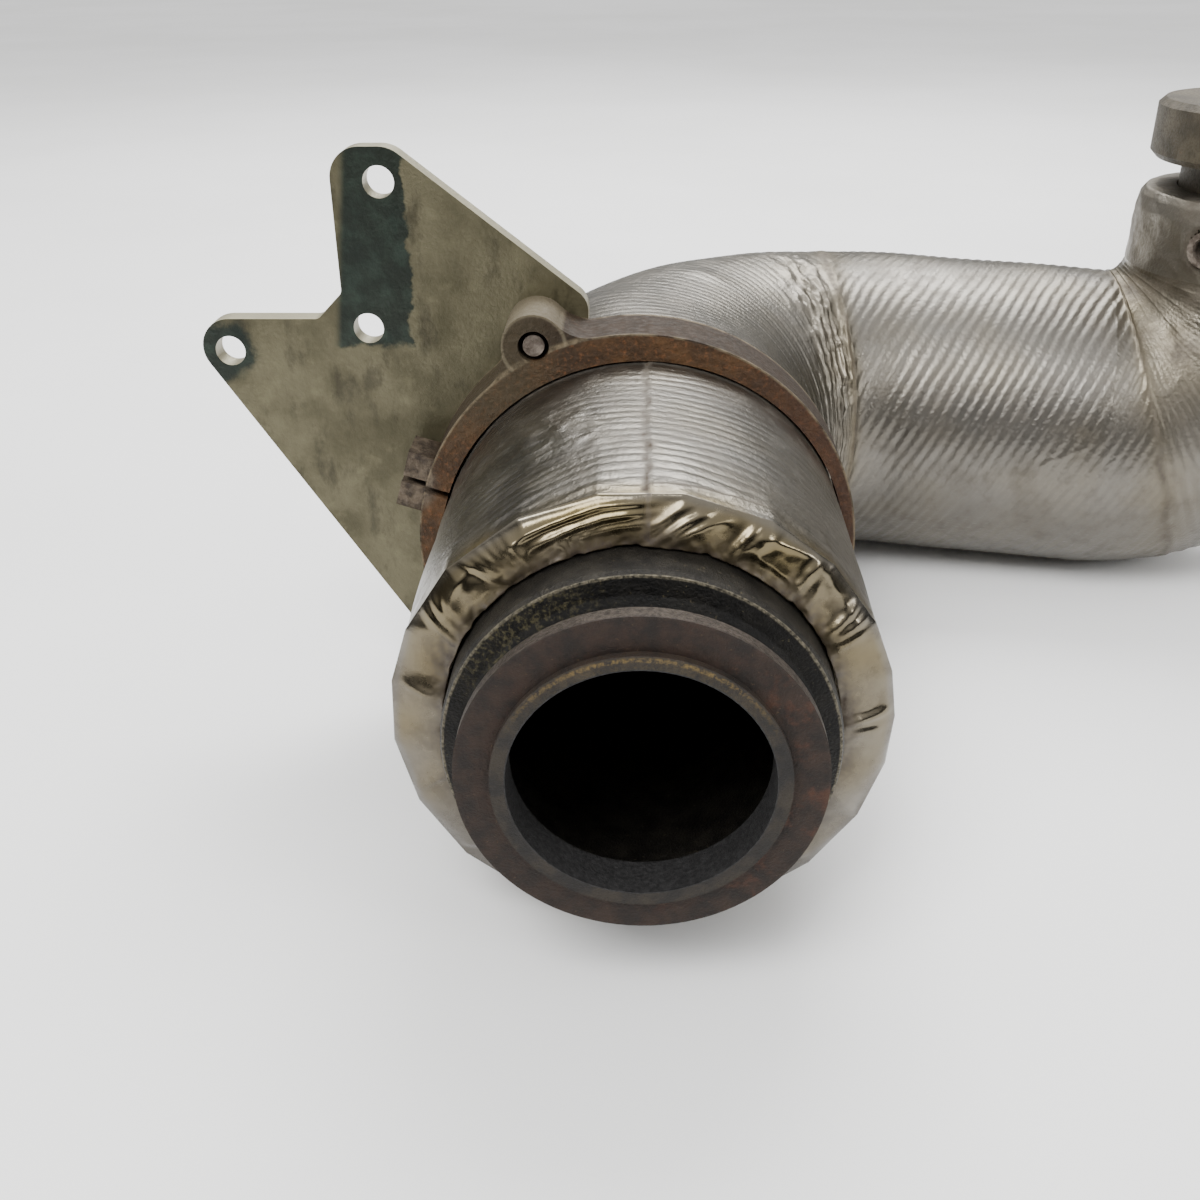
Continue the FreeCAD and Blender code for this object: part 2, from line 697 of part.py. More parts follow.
outlet_mat = add_feature(
    "outlet_mat",
    skin(
        elbow_rings(middle_mat_radius, outlet_mat_radius, FOIL_ELBOW_STEPS, MAT_SIDES)
        + [neck_ring(mat_round, outlet_mat_radius, MAT_SIDES)]
        + [neck_ring(mat_top, outlet_mat_radius - size("outlet_cap_round"), MAT_SIDES)],
        elbow_rings(
            mat_bore + mat_ease, mat_neck_bore + mat_ease, ELBOW_STEPS, MAT_SIDES, stretched=False
        )
        + [neck_ring(mat_top, mat_neck_bore, MAT_SIDES)],
    ).cut(boss_space),
)

# Clamp ring: a cast ring with one ear, split at the left between two rough lugs

clamp_ring = new_body("clamp_ring")
disc_sketch = new_sketch(clamp_ring, "ring_outside", "XZ_Plane", "-Sizes.ring_front")
draw_circle(disc_sketch, "Sizes.ring_radius", "Sizes.ring_shift_x", "Sizes.ring_shift_z")
pad(clamp_ring, disc_sketch, "Sizes.ring_depth")
ear_sketch = new_sketch(clamp_ring, "ear_outside", "XZ_Plane", "-Sizes.ring_front")
draw_circle(ear_sketch, "Sizes.ear_radius", "Sizes.ear_x", "Sizes.ear_z")
ear_pad = pad(clamp_ring, ear_sketch, "Sizes.ring_depth")

ear_place = Vector(size("ear_x"), size("ear_z"), 0)
disc_place = Vector(size("ring_shift_x"), size("ring_shift_z"), 0)
ear_gap = ear_place.distanceToPoint(disc_place)
ear_foot = (ear_gap**2 + size("ring_radius") ** 2 - size("ear_radius") ** 2) / (2 * ear_gap)
ear_half = math.sqrt(size("ring_radius") ** 2 - ear_foot**2)
ear_out = (ear_place - disc_place).normalize()
ear_across = Vector(-ear_out.y, ear_out.x, 0)
ear_corners = [disc_place + ear_out * ear_foot + ear_across * (ear_half * s) for s in (1, -1)]
fillet(clamp_ring, ear_pad, [(p.x, p.y) for p in ear_corners], 1.0, "Sizes.ear_blend", "ear_blends")


def radial_bar(inner, outer, half_width):
    """Corners of a bar along the split's direction, as pairs of formulas."""
    corners = ((inner, "-1"), (outer, "-1"), (outer, "1"), (inner, "1"))
    return [
        (
            f"({reach}) * cos(Sizes.split_angle) - {side} * ({half_width}) * sin(Sizes.split_angle)",
            f"({reach}) * sin(Sizes.split_angle) + {side} * ({half_width}) * cos(Sizes.split_angle)",
        )
        for reach, side in corners
    ]


LUG_FRONT = "Sizes.ring_front + (Sizes.ring_depth - Sizes.lug_depth) / 2"
lug_sketch = new_sketch(clamp_ring, "lugs", "XZ_Plane", f"-({LUG_FRONT})")
draw_outline(
    lug_sketch,
    radial_bar(
        "Sizes.ring_radius - Sizes.lug_root", "Sizes.lug_reach", "Sizes.lug_width + Sizes.split_gap / 2"
    ),
)
pad(clamp_ring, lug_sketch, "Sizes.lug_depth")

bore_sketch = new_sketch(clamp_ring, "ring_bore", "XZ_Plane")
RING_BORE = "Sizes.inlet_lag_radius + Sizes.ring_fit"
draw_circle(bore_sketch, RING_BORE, "0", "-Sizes.inlet_lag_sag")
pocket(clamp_ring, bore_sketch)
ear_hole_sketch = new_sketch(clamp_ring, "ear_bore", "XZ_Plane")
draw_circle(ear_hole_sketch, "Sizes.ear_hole", "Sizes.ear_x", "Sizes.ear_z")
pocket(clamp_ring, ear_hole_sketch)
split_sketch = new_sketch(clamp_ring, "split", "XZ_Plane")
draw_outline(
    split_sketch,
    radial_bar(
        "Sizes.inlet_lag_radius - Sizes.split_over",
        "Sizes.lug_reach + Sizes.split_over",
        "Sizes.split_gap / 2",
    ),
)
pocket(clamp_ring, split_sketch)

# Bracket plate: a flat steel plate behind the ring, cut round the pipe

PLATE_FRONT = "Sizes.ring_front + Sizes.ring_depth"
bracket_plate = new_body("bracket_plate")


def upper_line(z):
    """Where the plate's upper right edge passes a height."""
    return f"(Sizes.upper_reach - ({z}) * cos(Sizes.upper_slope)) / sin(Sizes.upper_slope)"


def lower_line(z):
    """Where the plate's lower left edge passes a height."""
    return f"-(Sizes.lower_reach + ({z}) * cos(Sizes.lower_slope)) / sin(Sizes.lower_slope)"


RIGHT_END = "(Sizes.upper_reach - Sizes.plate_right * sin(Sizes.upper_slope)) / cos(Sizes.upper_slope)"
plate_outline = (
    ("Sizes.plate_left", "Sizes.plate_top"),
    (upper_line("Sizes.plate_top"), "Sizes.plate_top"),
    ("Sizes.plate_right", RIGHT_END),
    ("Sizes.plate_right", "Sizes.plate_bottom"),
    (lower_line("Sizes.plate_bottom"), "Sizes.plate_bottom"),
    (lower_line("Sizes.prong_top"), "Sizes.prong_top"),
    ("Sizes.plate_left - Sizes.notch_size", "Sizes.prong_top"),
    ("Sizes.plate_left", "Sizes.prong_top + Sizes.notch_size"),
)
plate_sketch = new_sketch(bracket_plate, "plate_outline", "XZ_Plane", f"-({PLATE_FRONT})")
draw_outline(plate_sketch, plate_outline)
plate_pad = pad(bracket_plate, plate_sketch, "Sizes.plate_thickness")
corners = [tuple(float(sheet.evalExpression(f)) for f in pair) for pair in plate_outline]
lobes = [corners[0], corners[1], corners[5]]
ends = [corners[2], corners[4]]
notches = [corners[6], corners[7]]
plate_round = fillet(bracket_plate, plate_pad, lobes, 1.0, "Sizes.lobe_radius", "lobe_rounds")
plate_round = fillet(bracket_plate, plate_round, ends, 1.0, "Sizes.end_round", "end_rounds")
plate_round = fillet(bracket_plate, plate_round, notches, 1.0, "Sizes.notch_round", "notch_rounds")
saddle_sketch = new_sketch(bracket_plate, "saddle", "XZ_Plane")
draw_circle(
    saddle_sketch, "Sizes.inlet_lag_radius + Sizes.plate_fit", "0", "-Sizes.inlet_lag_sag"
)
pocket(bracket_plate, saddle_sketch)
for name in ("a", "b", "c"):
    hole_sketch = new_sketch(bracket_plate, f"fixing_hole_{name}", "XZ_Plane")
    draw_circle(hole_sketch, "Sizes.fixing_hole", f"Sizes.hole_{name}_x", f"Sizes.hole_{name}_z")
    pocket(bracket_plate, hole_sketch)
bolt_hole_sketch = new_sketch(bracket_plate, "bolt_hole", "XZ_Plane")
draw_circle(bolt_hole_sketch, "Sizes.bolt_radius + Sizes.bolt_fit", "Sizes.ear_x", "Sizes.ear_z")
pocket(bracket_plate, bolt_hole_sketch)

# Bolt through the ear, with its head behind the plate

plate_back = float(sheet.evalExpression(f"{PLATE_FRONT} + Sizes.plate_thickness"))
bolt_front = size("ring_front") + size("bolt_sink")
bolt_axis = Vector(size("ear_x"), 0, size("ear_z"))
bolt_shank = Part.makeCylinder(
    size("bolt_radius"), plate_back - bolt_front, bolt_axis + Y_AXIS * bolt_front, Y_AXIS
)
head_corner = size("head_flats") / 2 / math.cos(math.pi / 6)
head_points = ring(bolt_axis + Y_AXIS * plate_back, X_AXIS, Z_AXIS, head_corner, head_corner, 6)
head_face = Part.Face(Part.makePolygon(head_points + head_points[:1]))
bolt_head = head_face.extrude(Y_AXIS * size("head_height"))
clamp_bolt = add_feature("clamp_bolt", bolt_shank.fuse(bolt_head))

# Every sub-part is checked, then written

sub_parts = (
    inlet_flange,
    gas_tube,
    outlet_elbow,
    outlet_collar,
    sensor_boss,
    inlet_mat,
    bend_mat,
    middle_mat,
    outlet_mat,
    inlet_foil_cap,
    inlet_foil,
    bend_foil,
    middle_foil,
    elbow_foil,
    outlet_foil_cap,
    clamp_ring,
    bracket_plate,
    clamp_bolt,
)

doc.recompute()
for item in doc.Objects:
    if "Invalid" in item.State or "Error" in item.State:
        raise RuntimeError(f"{item.Name} did not compute")
os.makedirs("parts", exist_ok=True)
for part in sub_parts:
    if part.Shape.isNull() or not part.Shape.isValid() or len(part.Shape.Solids) != 1:
        raise RuntimeError(f"{part.Label} is not one sound solid")
    part.Shape.exportStep(f"parts/{part.Label}.step")
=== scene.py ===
import math

import bmesh
import bpy
import numpy as np
from mathutils import Matrix, Vector


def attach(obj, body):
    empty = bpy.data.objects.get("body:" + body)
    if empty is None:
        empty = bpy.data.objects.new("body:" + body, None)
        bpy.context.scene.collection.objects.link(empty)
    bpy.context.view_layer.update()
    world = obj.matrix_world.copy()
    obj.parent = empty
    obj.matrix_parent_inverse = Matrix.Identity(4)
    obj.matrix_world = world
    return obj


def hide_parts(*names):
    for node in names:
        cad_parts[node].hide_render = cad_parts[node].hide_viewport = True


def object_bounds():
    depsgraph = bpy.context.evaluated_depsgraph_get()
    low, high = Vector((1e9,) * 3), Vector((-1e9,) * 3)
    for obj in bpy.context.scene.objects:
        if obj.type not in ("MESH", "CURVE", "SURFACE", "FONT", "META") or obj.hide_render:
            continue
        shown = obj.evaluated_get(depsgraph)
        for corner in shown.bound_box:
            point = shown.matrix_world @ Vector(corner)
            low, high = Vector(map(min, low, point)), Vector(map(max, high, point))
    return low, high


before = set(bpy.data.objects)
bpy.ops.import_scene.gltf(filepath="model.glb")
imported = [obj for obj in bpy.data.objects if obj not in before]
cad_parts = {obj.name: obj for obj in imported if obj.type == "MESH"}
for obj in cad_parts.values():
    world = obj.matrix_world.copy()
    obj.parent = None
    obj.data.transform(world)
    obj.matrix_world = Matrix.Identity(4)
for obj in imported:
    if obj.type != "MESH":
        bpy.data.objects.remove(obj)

bl_info = {
    "name": "Foil-lagged exhaust pipe",
    "version": (1, 0, 0),
    "blender": (4, 5, 0),
    "location": "View3D > Sidebar > Exhaust",
    "description": "Creased foil skins, rusted steel and a studio for a lagged exhaust pipe",
    "category": "Object",
}

CAD_BOX = [list(corner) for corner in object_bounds()]
MM = 0.001

# The pipe's centre line, in millimetres: the inlet leg lies along Y, and the rear legs are rolled
# about it. The elbow's two reaches are from its hinge to the centre line, before the pinch.
BEND_START = 209.5
BEND_RADIUS = 104.0
BEND_TURN = math.radians(97.9)
REAR_ROLL = math.radians(2.5)
MIDDLE_LENGTH = 146.5
FIRST_REACH = 67.5
LAST_REACH = 52.0
MEAN_REACH = 70.0
PINCH = 6.0
BULGE = 0.1

# Places along the inlet leg: its foil's torn edge and shoulder, the joint under the clamp ring,
# and the last row that the ring hides.
TORN_Y = 26.6
SHOULDER_Y = 31.0
JOINT_Y = 148.75
RING_BACK = 160.7

# Radii of the skins and of the pipe, the lagging's sag and the height of the neck's foil.
INLET_SKIN = 70.8
MIDDLE_SKIN = 67.1
OUTLET_SKIN = 51.4
PIPE = 54.5
SAG = 2.0
CAP_TOP = 96.5

# The sensor boss: its bearing round the neck, its height and the foil's hole around it.
BOSS_OUT = (math.cos(math.radians(226)), math.sin(math.radians(226)), 0.0)
BOSS_HEIGHT = 79.0
BOSS_HOLE = 7.6

# Where the inlet foil is lapped, in degrees round from the left side.
SEAM_TURN = 88.6

# Rows and columns of points in each sheet of foil.
INLET_ROWS, INLET_COLUMNS = 200, 420
STRAIGHT_ROWS, BEND_ROWS, BEND_COLUMNS = 70, 235, 320
MIDDLE_ROWS, MIDDLE_COLUMNS = 140, 400
ELBOW_ROWS, ELBOW_COLUMNS = 150, 360
END_ROWS, END_COLUMNS = 42, 720
NECK_ROWS, NECK_COLUMNS = 56, 280

# The wound foil's ribs lean: so many ribs a turn, each a share of the full height. It starts at a
# taped seam before the middle leg, in millimetres, and ends at one a share of the way up the elbow.
RIB_STARTS = 36
RIB_SLOPE = 0.927
WOUND_HEIGHT = 0.75
WOUND_START = -29.0
WOUND_END = 0.21

# Waves in a noise, and what brings their sum to about 1.
NOISE_WAVES = 14
NOISE_SPREAD = 3.7

# Corners of the shoulder, in degrees round from the left side.
CORNERS = (8, 22, 40, 60, 78, 96, 116, 133, 150, 163, 175)
CORNERS += (188, 204, 222, 240, 258, 277, 296, 315, 334, 352)

# Radial folds of the gathered end: turn at the torn edge and at the shoulder, from and to which
# share of the way out, width in degrees and height in millimetres.
RADIAL_FOLDS = (
    (24.0, 29.5, 0.05, 1.0, 1.6, 1.2),
    (27.0, 33.0, 0.15, 0.95, 1.3, 1.0),
    (30.5, 36.0, 0.0, 0.7, 1.2, 0.9),
    (49.5, 43.5, 0.1, 1.0, 1.2, 1.5),
    (51.2, 45.8, 0.05, 0.95, 1.1, 1.6),
    (52.8, 48.0, 0.1, 1.0, 1.1, 1.7),
    (54.2, 50.4, 0.0, 0.95, 1.0, 1.6),
    (55.8, 52.6, 0.1, 0.9, 1.0, 1.5),
    (57.4, 55.0, 0.05, 0.85, 1.1, 1.3),
    (68.0, 63.0, 0.0, 0.35, 0.9, 1.0),
    (69.8, 69.0, 0.0, 0.42, 0.9, 1.2),
    (71.2, 75.5, 0.0, 0.4, 0.9, 1.1),
    (89.5, 104.0, 0.1, 0.9, 2.6, 1.2),
    (93.5, 109.0, 0.05, 0.8, 2.4, 1.1),
    (84.0, 99.0, 0.35, 0.95, 2.0, 0.9),
    (109.6, 113.6, 0.0, 1.0, 1.1, 1.6),
    (111.4, 116.4, 0.1, 1.0, 1.0, 1.5),
    (113.6, 118.0, 0.3, 0.95, 1.2, 1.2),
    (130.5, 129.0, 0.0, 1.0, 1.6, 1.4),
    (136.0, 131.5, 0.0, 0.6, 2.2, 1.0),
    (146.8, 142.6, 0.1, 1.0, 1.2, 1.5),
    (148.8, 146.4, 0.25, 0.95, 1.0, 1.4),
    (150.8, 149.6, 0.1, 0.7, 1.2, 1.2),
    (176.5, 172.0, 0.0, 1.0, 1.8, 1.5),
    (179.5, 177.0, 0.1, 0.8, 1.5, 0.9),
    (198.0, 203.0, 0.1, 0.9, 2.0, 0.8),
    (224.0, 219.0, 0.0, 0.8, 2.2, 0.9),
    (251.0, 256.0, 0.2, 1.0, 2.0, 0.8),
    (283.0, 279.0, 0.1, 0.9, 2.2, 0.9),
    (312.0, 318.0, 0.0, 0.9, 2.0, 0.8),
    (341.0, 337.0, 0.1, 1.0, 2.0, 0.9),
    (6.0, 9.0, 0.1, 0.9, 1.8, 0.9),
)

# Long folds along the ring: start and end turn, share of the way out at each, width as a share
# and height in millimetres.
RING_FOLDS = (
    (54.0, 89.0, 0.98, 0.97, 0.05, 0.8),
    (56.0, 88.0, 0.66, 0.84, 0.07, 1.3),
    (60.0, 87.0, 0.42, 0.64, 0.07, 1.1),
    (72.0, 87.0, 0.3, 0.42, 0.06, 0.7),
    (91.0, 110.0, 0.97, 0.99, 0.05, 0.7),
    (117.0, 131.0, 0.7, 0.98, 0.08, 0.9),
    (116.0, 129.0, 0.35, 0.3, 0.1, 0.7),
    (132.0, 146.0, 0.85, 0.7, 0.08, 0.9),
    (152.0, 171.0, 0.8, 0.86, 0.09, 0.7),
    (34.0, 44.0, 0.6, 0.75, 0.08, 0.8),
)

# Scale of a distance that is measured from an axis along Y.
FROM_AXIS = (1, 0, 1)

# The flange's masks, each from where it starts to where it is full, in metres. From the axis: rim,
# painted edge highlight, lip and bore. Along it: behind the face, before it, the groove, the
# painted highlight on the body's edge, the body.
FLANGE_RIM = (0.0482, 0.049)
FLANGE_EDGE_HIGHLIGHT = (0.0529, 0.0534)
FLANGE_LIP = (0.0397, 0.0392)
FLANGE_BORE = (0.0358, 0.0354)
LIP_RIDGE = 0.0383
FACE_BACK = (-0.0002, 0.0008)
FACE_FRONT = (0.0004, -0.0004)
GROOVE_START = (0.0048, 0.0056)
BODY_EDGE_HIGHLIGHT = (0.0126, 0.0130)
BODY_START = (0.0131, 0.0135)
DUST_SPOT = (-0.03, 0.009, 0.036)

# The clamp ring's and the plate's masks and spots, in metres.
RING_CENTRE = (-0.002, 0, 0.0015)
RING_SIDE = (0.0762, 0.0768)
RING_WORN = (0.0761, 0.0768)
RING_UNWORN = (0.0788, 0.0774)
RING_FRONT = (0.1384, 0.1368)
RING_REAR = (0.1584, 0.1600)
EAR_SPOT = (-0.0363, 0, 0.0741)
LUG_SPOT = (-0.083, 0, 0.0255)
PLATE_TIP = (-0.1480, 0, 0.0650)

# The stage, in metres: the floor is just under the part, the dark card stands before it.
FLOOR_GAP = 0.0004
FLOOR_CORNERS = ((-9, -9), (9, -9), (9, 9), (-9, 9))
CARD_LEFT, CARD_RIGHT, CARD_Y, CARD_TOP = -1.1, 1.4, -0.62, 0.17

# Its lamps: name, place and aim in metres, size in metres and power in watts.
LAMPS = (
    ("key_softbox", (-0.5, -0.75, 1.35), (0.1, 0.15, 0), 0.8, 30),
    ("top_softbox", (0.2, 1.3, 1.5), (0.1, 0.3, 0), 1.2, 42),
    ("right_strip", (1.4, -0.9, 0.9), (0.2, 0.2, 0), 0.5, 9),
)

# The camera: place in metres, then yaw, pitch and roll in degrees.
CAMERA_SPOT = (-0.001, -0.2661, 0.1972)
CAMERA_TURN = (-1.99, 28.32, 0.47)


def linear(code):
    """An sRGB hex colour as linear red, green, blue and alpha."""
    values = [int(code[i : i + 2], 16) / 255 for i in (1, 3, 5)]
    straight = [v / 12.92 if v <= 0.04045 else ((v + 0.055) / 1.055) ** 2.4 for v in values]
    return (*straight, 1.0)


# Centre line


def rolled(points):
    """Turns points or directions of the rear legs about the inlet leg's axis."""
    points = np.asarray(points, float)
    cos, sin = math.cos(REAR_ROLL), math.sin(REAR_ROLL)
    x, y, z = points[..., 0], points[..., 1], points[..., 2]
    return np.stack([x * cos + z * sin, y, z * cos - x * sin], -1)


def outward(angle):
    """Direction away from the bend's hub, before the roll."""
    angle = np.asarray(angle, float)
    return np.stack([-np.cos(angle), np.sin(angle), np.zeros_like(angle)], -1)


LEFT = rolled([-1.0, 0.0, 0.0])
TOP = rolled([0.0, 0.0, 1.0])
HUB = np.array([BEND_RADIUS, BEND_START, 0.0])
UP = np.array([0.0, 0.0, 1.0])
MIDDLE_START = HUB + outward(BEND_TURN) * BEND_RADIUS
MIDDLE_ALONG = outward(BEND_TURN + math.pi / 2)
OUTLET = rolled(MIDDLE_START + MIDDLE_ALONG * MIDDLE_LENGTH)
ELBOW_ALONG = rolled(MIDDLE_ALONG)
ELBOW_TURN = math.acos(ELBOW_ALONG[2])
ELBOW_SIDE = np.cross(ELBOW_ALONG, UP) / np.linalg.norm(np.cross(ELBOW_ALONG, UP))
ELBOW_UP = np.cross(ELBOW_SIDE, ELBOW_ALONG)
START_REACH = FIRST_REACH + PINCH
END_REACH = LAST_REACH + PINCH
ELBOW_BACK = (END_REACH - START_REACH * math.cos(ELBOW_TURN)) / math.sin(ELBOW_TURN)
HINGE = OUTLET - ELBOW_ALONG * ELBOW_BACK + ELBOW_UP * START_REACH
MIDDLE_RUN = MIDDLE_LENGTH - ELBOW_BACK


class Skin:
    """Rings of a foil skin, row by row: centre, two directions, two radii, distance along."""

    def __init__(self, centre, across, up, radius_across, radius_up, along):
        self.centre = np.asarray(centre, float)
        rows = len(self.centre)
        self.across = np.broadcast_to(across, (rows, 3))
        self.up = np.broadcast_to(up, (rows, 3))
        self.radius_across = np.broadcast_to(radius_across, (rows,))
        self.radius_up = np.broadcast_to(radius_up, (rows,))
        self.along = np.asarray(along, float)

    def points(self, turns, height=0.0):
        """Points of the skin at the given turns around it, raised by a height in millimetres."""
        cos, sin = np.cos(turns)[None, :, None], np.sin(turns)[None, :, None]
        arm = self.across[:, None] * cos + self.up[:, None] * sin
        wide = self.across[:, None] * cos * self.radius_across[:, None, None]
        tall = self.up[:, None] * sin * self.radius_up[:, None, None]
        raised = arm * (height if np.isscalar(height) else height[:, :, None])
        return self.centre[:, None] + wide + tall + raised


def inlet_skin(start, end, rows):
    """The skin of the inlet leg, seen from the front: turn 0 is the left side, 90 the top."""
    y = np.linspace(start, end, rows)
    centre = np.stack([0 * y, y, 0 * y - SAG], -1)
    return Skin(centre, LEFT, TOP, INLET_SKIN, INLET_SKIN, y)


def bend_skin(straight_rows, bend_rows):
    """The skin from under the clamp ring round the bend: its turn 180 is the bend's inner side."""
    y = np.linspace(JOINT_Y, BEND_START, straight_rows, endpoint=False)
    share = np.linspace(0, 1, bend_rows)
    angle = share * BEND_TURN
    centre = np.concatenate(
        [
            np.stack([0 * y, y, 0 * y - SAG], -1),
            rolled(HUB + outward(angle) * BEND_RADIUS - UP * (SAG * (1 - share))[:, None]),
        ]
    )
    across = np.concatenate([np.tile(LEFT, (len(y), 1)), rolled(outward(angle))])
    radius = np.concatenate([0 * y + INLET_SKIN, INLET_SKIN + (MIDDLE_SKIN - INLET_SKIN) * share])
    along = np.concatenate([y, BEND_START + angle * BEND_RADIUS])
    return Skin(centre, across, TOP, radius, radius, along)


def middle_skin(rows):
    """The skin of the middle leg: its turn 90 is the top and 180 the front."""
    run = np.linspace(0, MIDDLE_RUN, rows)
    centre = rolled(MIDDLE_START + MIDDLE_ALONG * run[:, None])
    across = rolled(outward(BEND_TURN))
    return Skin(centre, across, TOP, MIDDLE_SKIN, MIDDLE_SKIN, run)


def elbow_skin(rows):
    """The skin of the outlet elbow: its turn 0 is the outer side, 90 degrees the front."""
    share = np.linspace(0, 1, rows)
    angle = share * ELBOW_TURN
    away = ELBOW_ALONG * np.sin(angle)[:, None] - ELBOW_UP * np.cos(angle)[:, None]
    stretch = 1 + BULGE * np.sin(math.pi * share)
    reach = (FIRST_REACH + (LAST_REACH - FIRST_REACH) * share) * stretch + PINCH
    radius = MIDDLE_SKIN + (OUTLET_SKIN - MIDDLE_SKIN) * share
    centre = HINGE + away * reach[:, None]
    return Skin(centre, away, ELBOW_SIDE, radius * stretch, radius, angle * MEAN_REACH)


# Seeded relief, in millimetres


def noise(points, lump, seed):
    """Smooth noise, about -1 to 1, with lumps of a given size in millimetres."""
    rng = np.random.default_rng(seed)
    waves = rng.normal(size=(NOISE_WAVES, 3))
    waves *= (2 * math.pi / lump) / np.linalg.norm(waves, axis=1)[:, None]
    waves *= rng.uniform(0.45, 1.0, (NOISE_WAVES, 1))
    shifts = rng.uniform(0, 2 * math.pi, NOISE_WAVES)
    total = sum(np.sin(points @ wave + shift) for wave, shift in zip(waves, shifts))
    return total / NOISE_SPREAD


def crumple(points, lump, seed):
    """Sharp ridges between flat facets, as in crushed foil, about -1 to 1."""
    first = np.abs(noise(points, lump, seed))
    second = np.abs(noise(points, lump * 0.55, seed + 1))
    return 1 - 1.6 * np.minimum(first, 1) - 0.7 * np.minimum(second, 1)


def ribs(phase):
    """The foil's pressed ribs as a rounded zigzag, from -1 to 1."""
    return np.arcsin(0.93 * np.sin(2 * math.pi * phase)) / math.asin(0.93)


def bump(value, centre, width):
    """A smooth hump of height 1 about a centre."""
    return np.exp(-(((value - centre) / width) ** 2))


def window(value, first, last, ease):
    """1 between two values, easing to 0 outside them."""
    return 1 / (1 + np.exp(-(value - first) / ease)) / (1 + np.exp((value - last) / ease))


def cusps(phase):
    """Broad smooth ribs with narrow grooves between them, from -1 to 1."""
    return 2 * np.abs(np.cos(math.pi * phase)) ** 0.55 - 1


def wound_ribs(run, turns, points):
    """Ribs of the foil wound on a bias, from the distance along the middle leg and the turn."""
    drift = 0.25 * noise(points, 70, 41) + 0.05 * noise(points, 16, 42)
    foil = bpy.context.scene.exhaust_foil
    return ribs(run * RIB_SLOPE / foil.fine_pitch + RIB_STARTS * turns / (2 * math.pi) + drift)


def soften(field, passes):
    """Rounds off a field over its neighbours, as thin metal does over a sharp fold."""
    for _ in range(passes):
        field = (field + np.roll(field, 1, 1) + np.roll(field, -1, 1)) / 3
        field[1:-1] = (field[:-2] + field[1:-1] + field[2:]) / 3
    return field


def belt_and_underside_shade(degrees):
    """Painted shade round a wound leg: slight all round, a dark painted reflection in a belt along
    the front, and more painted shade on the underside.
    """
    return 0.12 + 0.22 * bump(degrees, 168, 16) + 0.14 * window(degrees, 176, 300, 14)


def flats(turns):
    """How far the shoulder's flats between its corners are sunk, in millimetres."""
    degrees = np.degrees(turns)
    corners = np.array(CORNERS, float)
    before = np.searchsorted(corners, degrees) - 1
    first = corners[before] - np.where(before < 0, 360, 0)
    last = np.roll(corners, -1)[before] + np.where(degrees > corners[-1], 360, 0)
    half = np.radians(last - first) / 2
    away = np.radians(degrees - (first + last) / 2)
    return INLET_SKIN * (1 - np.cos(half) / np.cos(away))


def turn_gap(turns, place):
    """The signed gap in degrees from a place around a ring."""
    return (np.degrees(turns) - place + 180) % 360 - 180


def ridge_line(across_gap, width):
    """A fold seen across its line: steep on one side, easy on the other."""
    gap = across_gap / width
    return np.where(gap < 0, np.exp(gap * 2.4), np.exp(-gap * 0.9))


# Meshes and objects


def sheet(name, points, replaced, masks, material):
    """A smooth sheet through rows of points, with its masks kept for its material."""
    rows, columns = points.shape[:2]
    index = np.arange(rows * columns).reshape(rows, columns)
    side = np.roll(index, -1, axis=1)
    quads = np.stack([index[:-1], side[:-1], side[1:], index[1:]], -1).reshape(-1, 4)
    mesh = bpy.data.meshes.new(name)
    mesh.vertices.add(rows * columns)
    mesh.vertices.foreach_set("co", (points * MM).astype(np.float32).ravel())
    mesh.loops.add(quads.size)
    mesh.loops.foreach_set("vertex_index", quads.astype(np.int32).ravel())
    mesh.polygons.add(len(quads))
    mesh.polygons.foreach_set("loop_start", np.arange(0, quads.size, 4, dtype=np.int32))
    mesh.update(calc_edges=True)
    mesh.validate()
    mesh.shade_smooth()
    for mask, values in masks.items():
        layer = mesh.attributes.new(mask, "FLOAT", "POINT")
        values = np.broadcast_to(np.clip(values, 0, 1), (rows, columns))
        layer.data.foreach_set("value", values.astype(np.float32).ravel())
    piece = bpy.data.objects.new(name, mesh)
    bpy.context.scene.collection.objects.link(piece)
    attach(piece, "root")
    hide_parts(replaced)
    mesh.materials.append(material)
    return piece


def without_points(mesh, dropped):
    """Takes the points that lie inside a hole out of a sheet."""
    work = bmesh.new()
    work.from_mesh(mesh)
    work.verts.ensure_lookup_table()
    bmesh.ops.delete(work, geom=[work.verts[i] for i in dropped], context="VERTS")
    work.to_mesh(mesh)
    work.free()


def turns_of(columns):
    """Even turns around a ring."""
    return np.linspace(0, 2 * math.pi, columns, endpoint=False)


# Materials


def add(tree, kind, inputs=None, **settings):
    """Adds a node with its settings, and fills or links its inputs. Hex colours turn linear."""
    made = tree.nodes.new(kind)
    for name, value in settings.items():
        setattr(made, name, value)
    for socket, value in (inputs or {}).items():
        if isinstance(value, bpy.types.NodeSocket):
            tree.links.new(value, made.inputs[socket])
        else:
            made.inputs[socket].default_value = linear(value) if isinstance(value, str) else value
    return made


def start_material(name):
    """A new material with an empty tree, its output and its coordinates in the part's own frame."""
    material = bpy.data.materials.new(name)
    material.use_nodes = True
    tree = material.node_tree
    tree.nodes.clear()
    place = add(tree, "ShaderNodeTexCoord").outputs["Object"]
    return material, tree, place


def finish_material(tree, colour, roughness, metallic, height, depth):
    """Closes a material's tree with a principled surface and a bump of a depth in metres."""
    relief = add(tree, "ShaderNodeBump", {"Height": height, "Strength": 1.0, "Distance": depth})
    inputs = {"Base Color": colour, "Roughness": roughness, "Metallic": metallic}
    inputs["Normal"] = relief.outputs[0]
    surface = add(tree, "ShaderNodeBsdfPrincipled", inputs)
    add(tree, "ShaderNodeOutputMaterial", {"Surface": surface.outputs[0]})


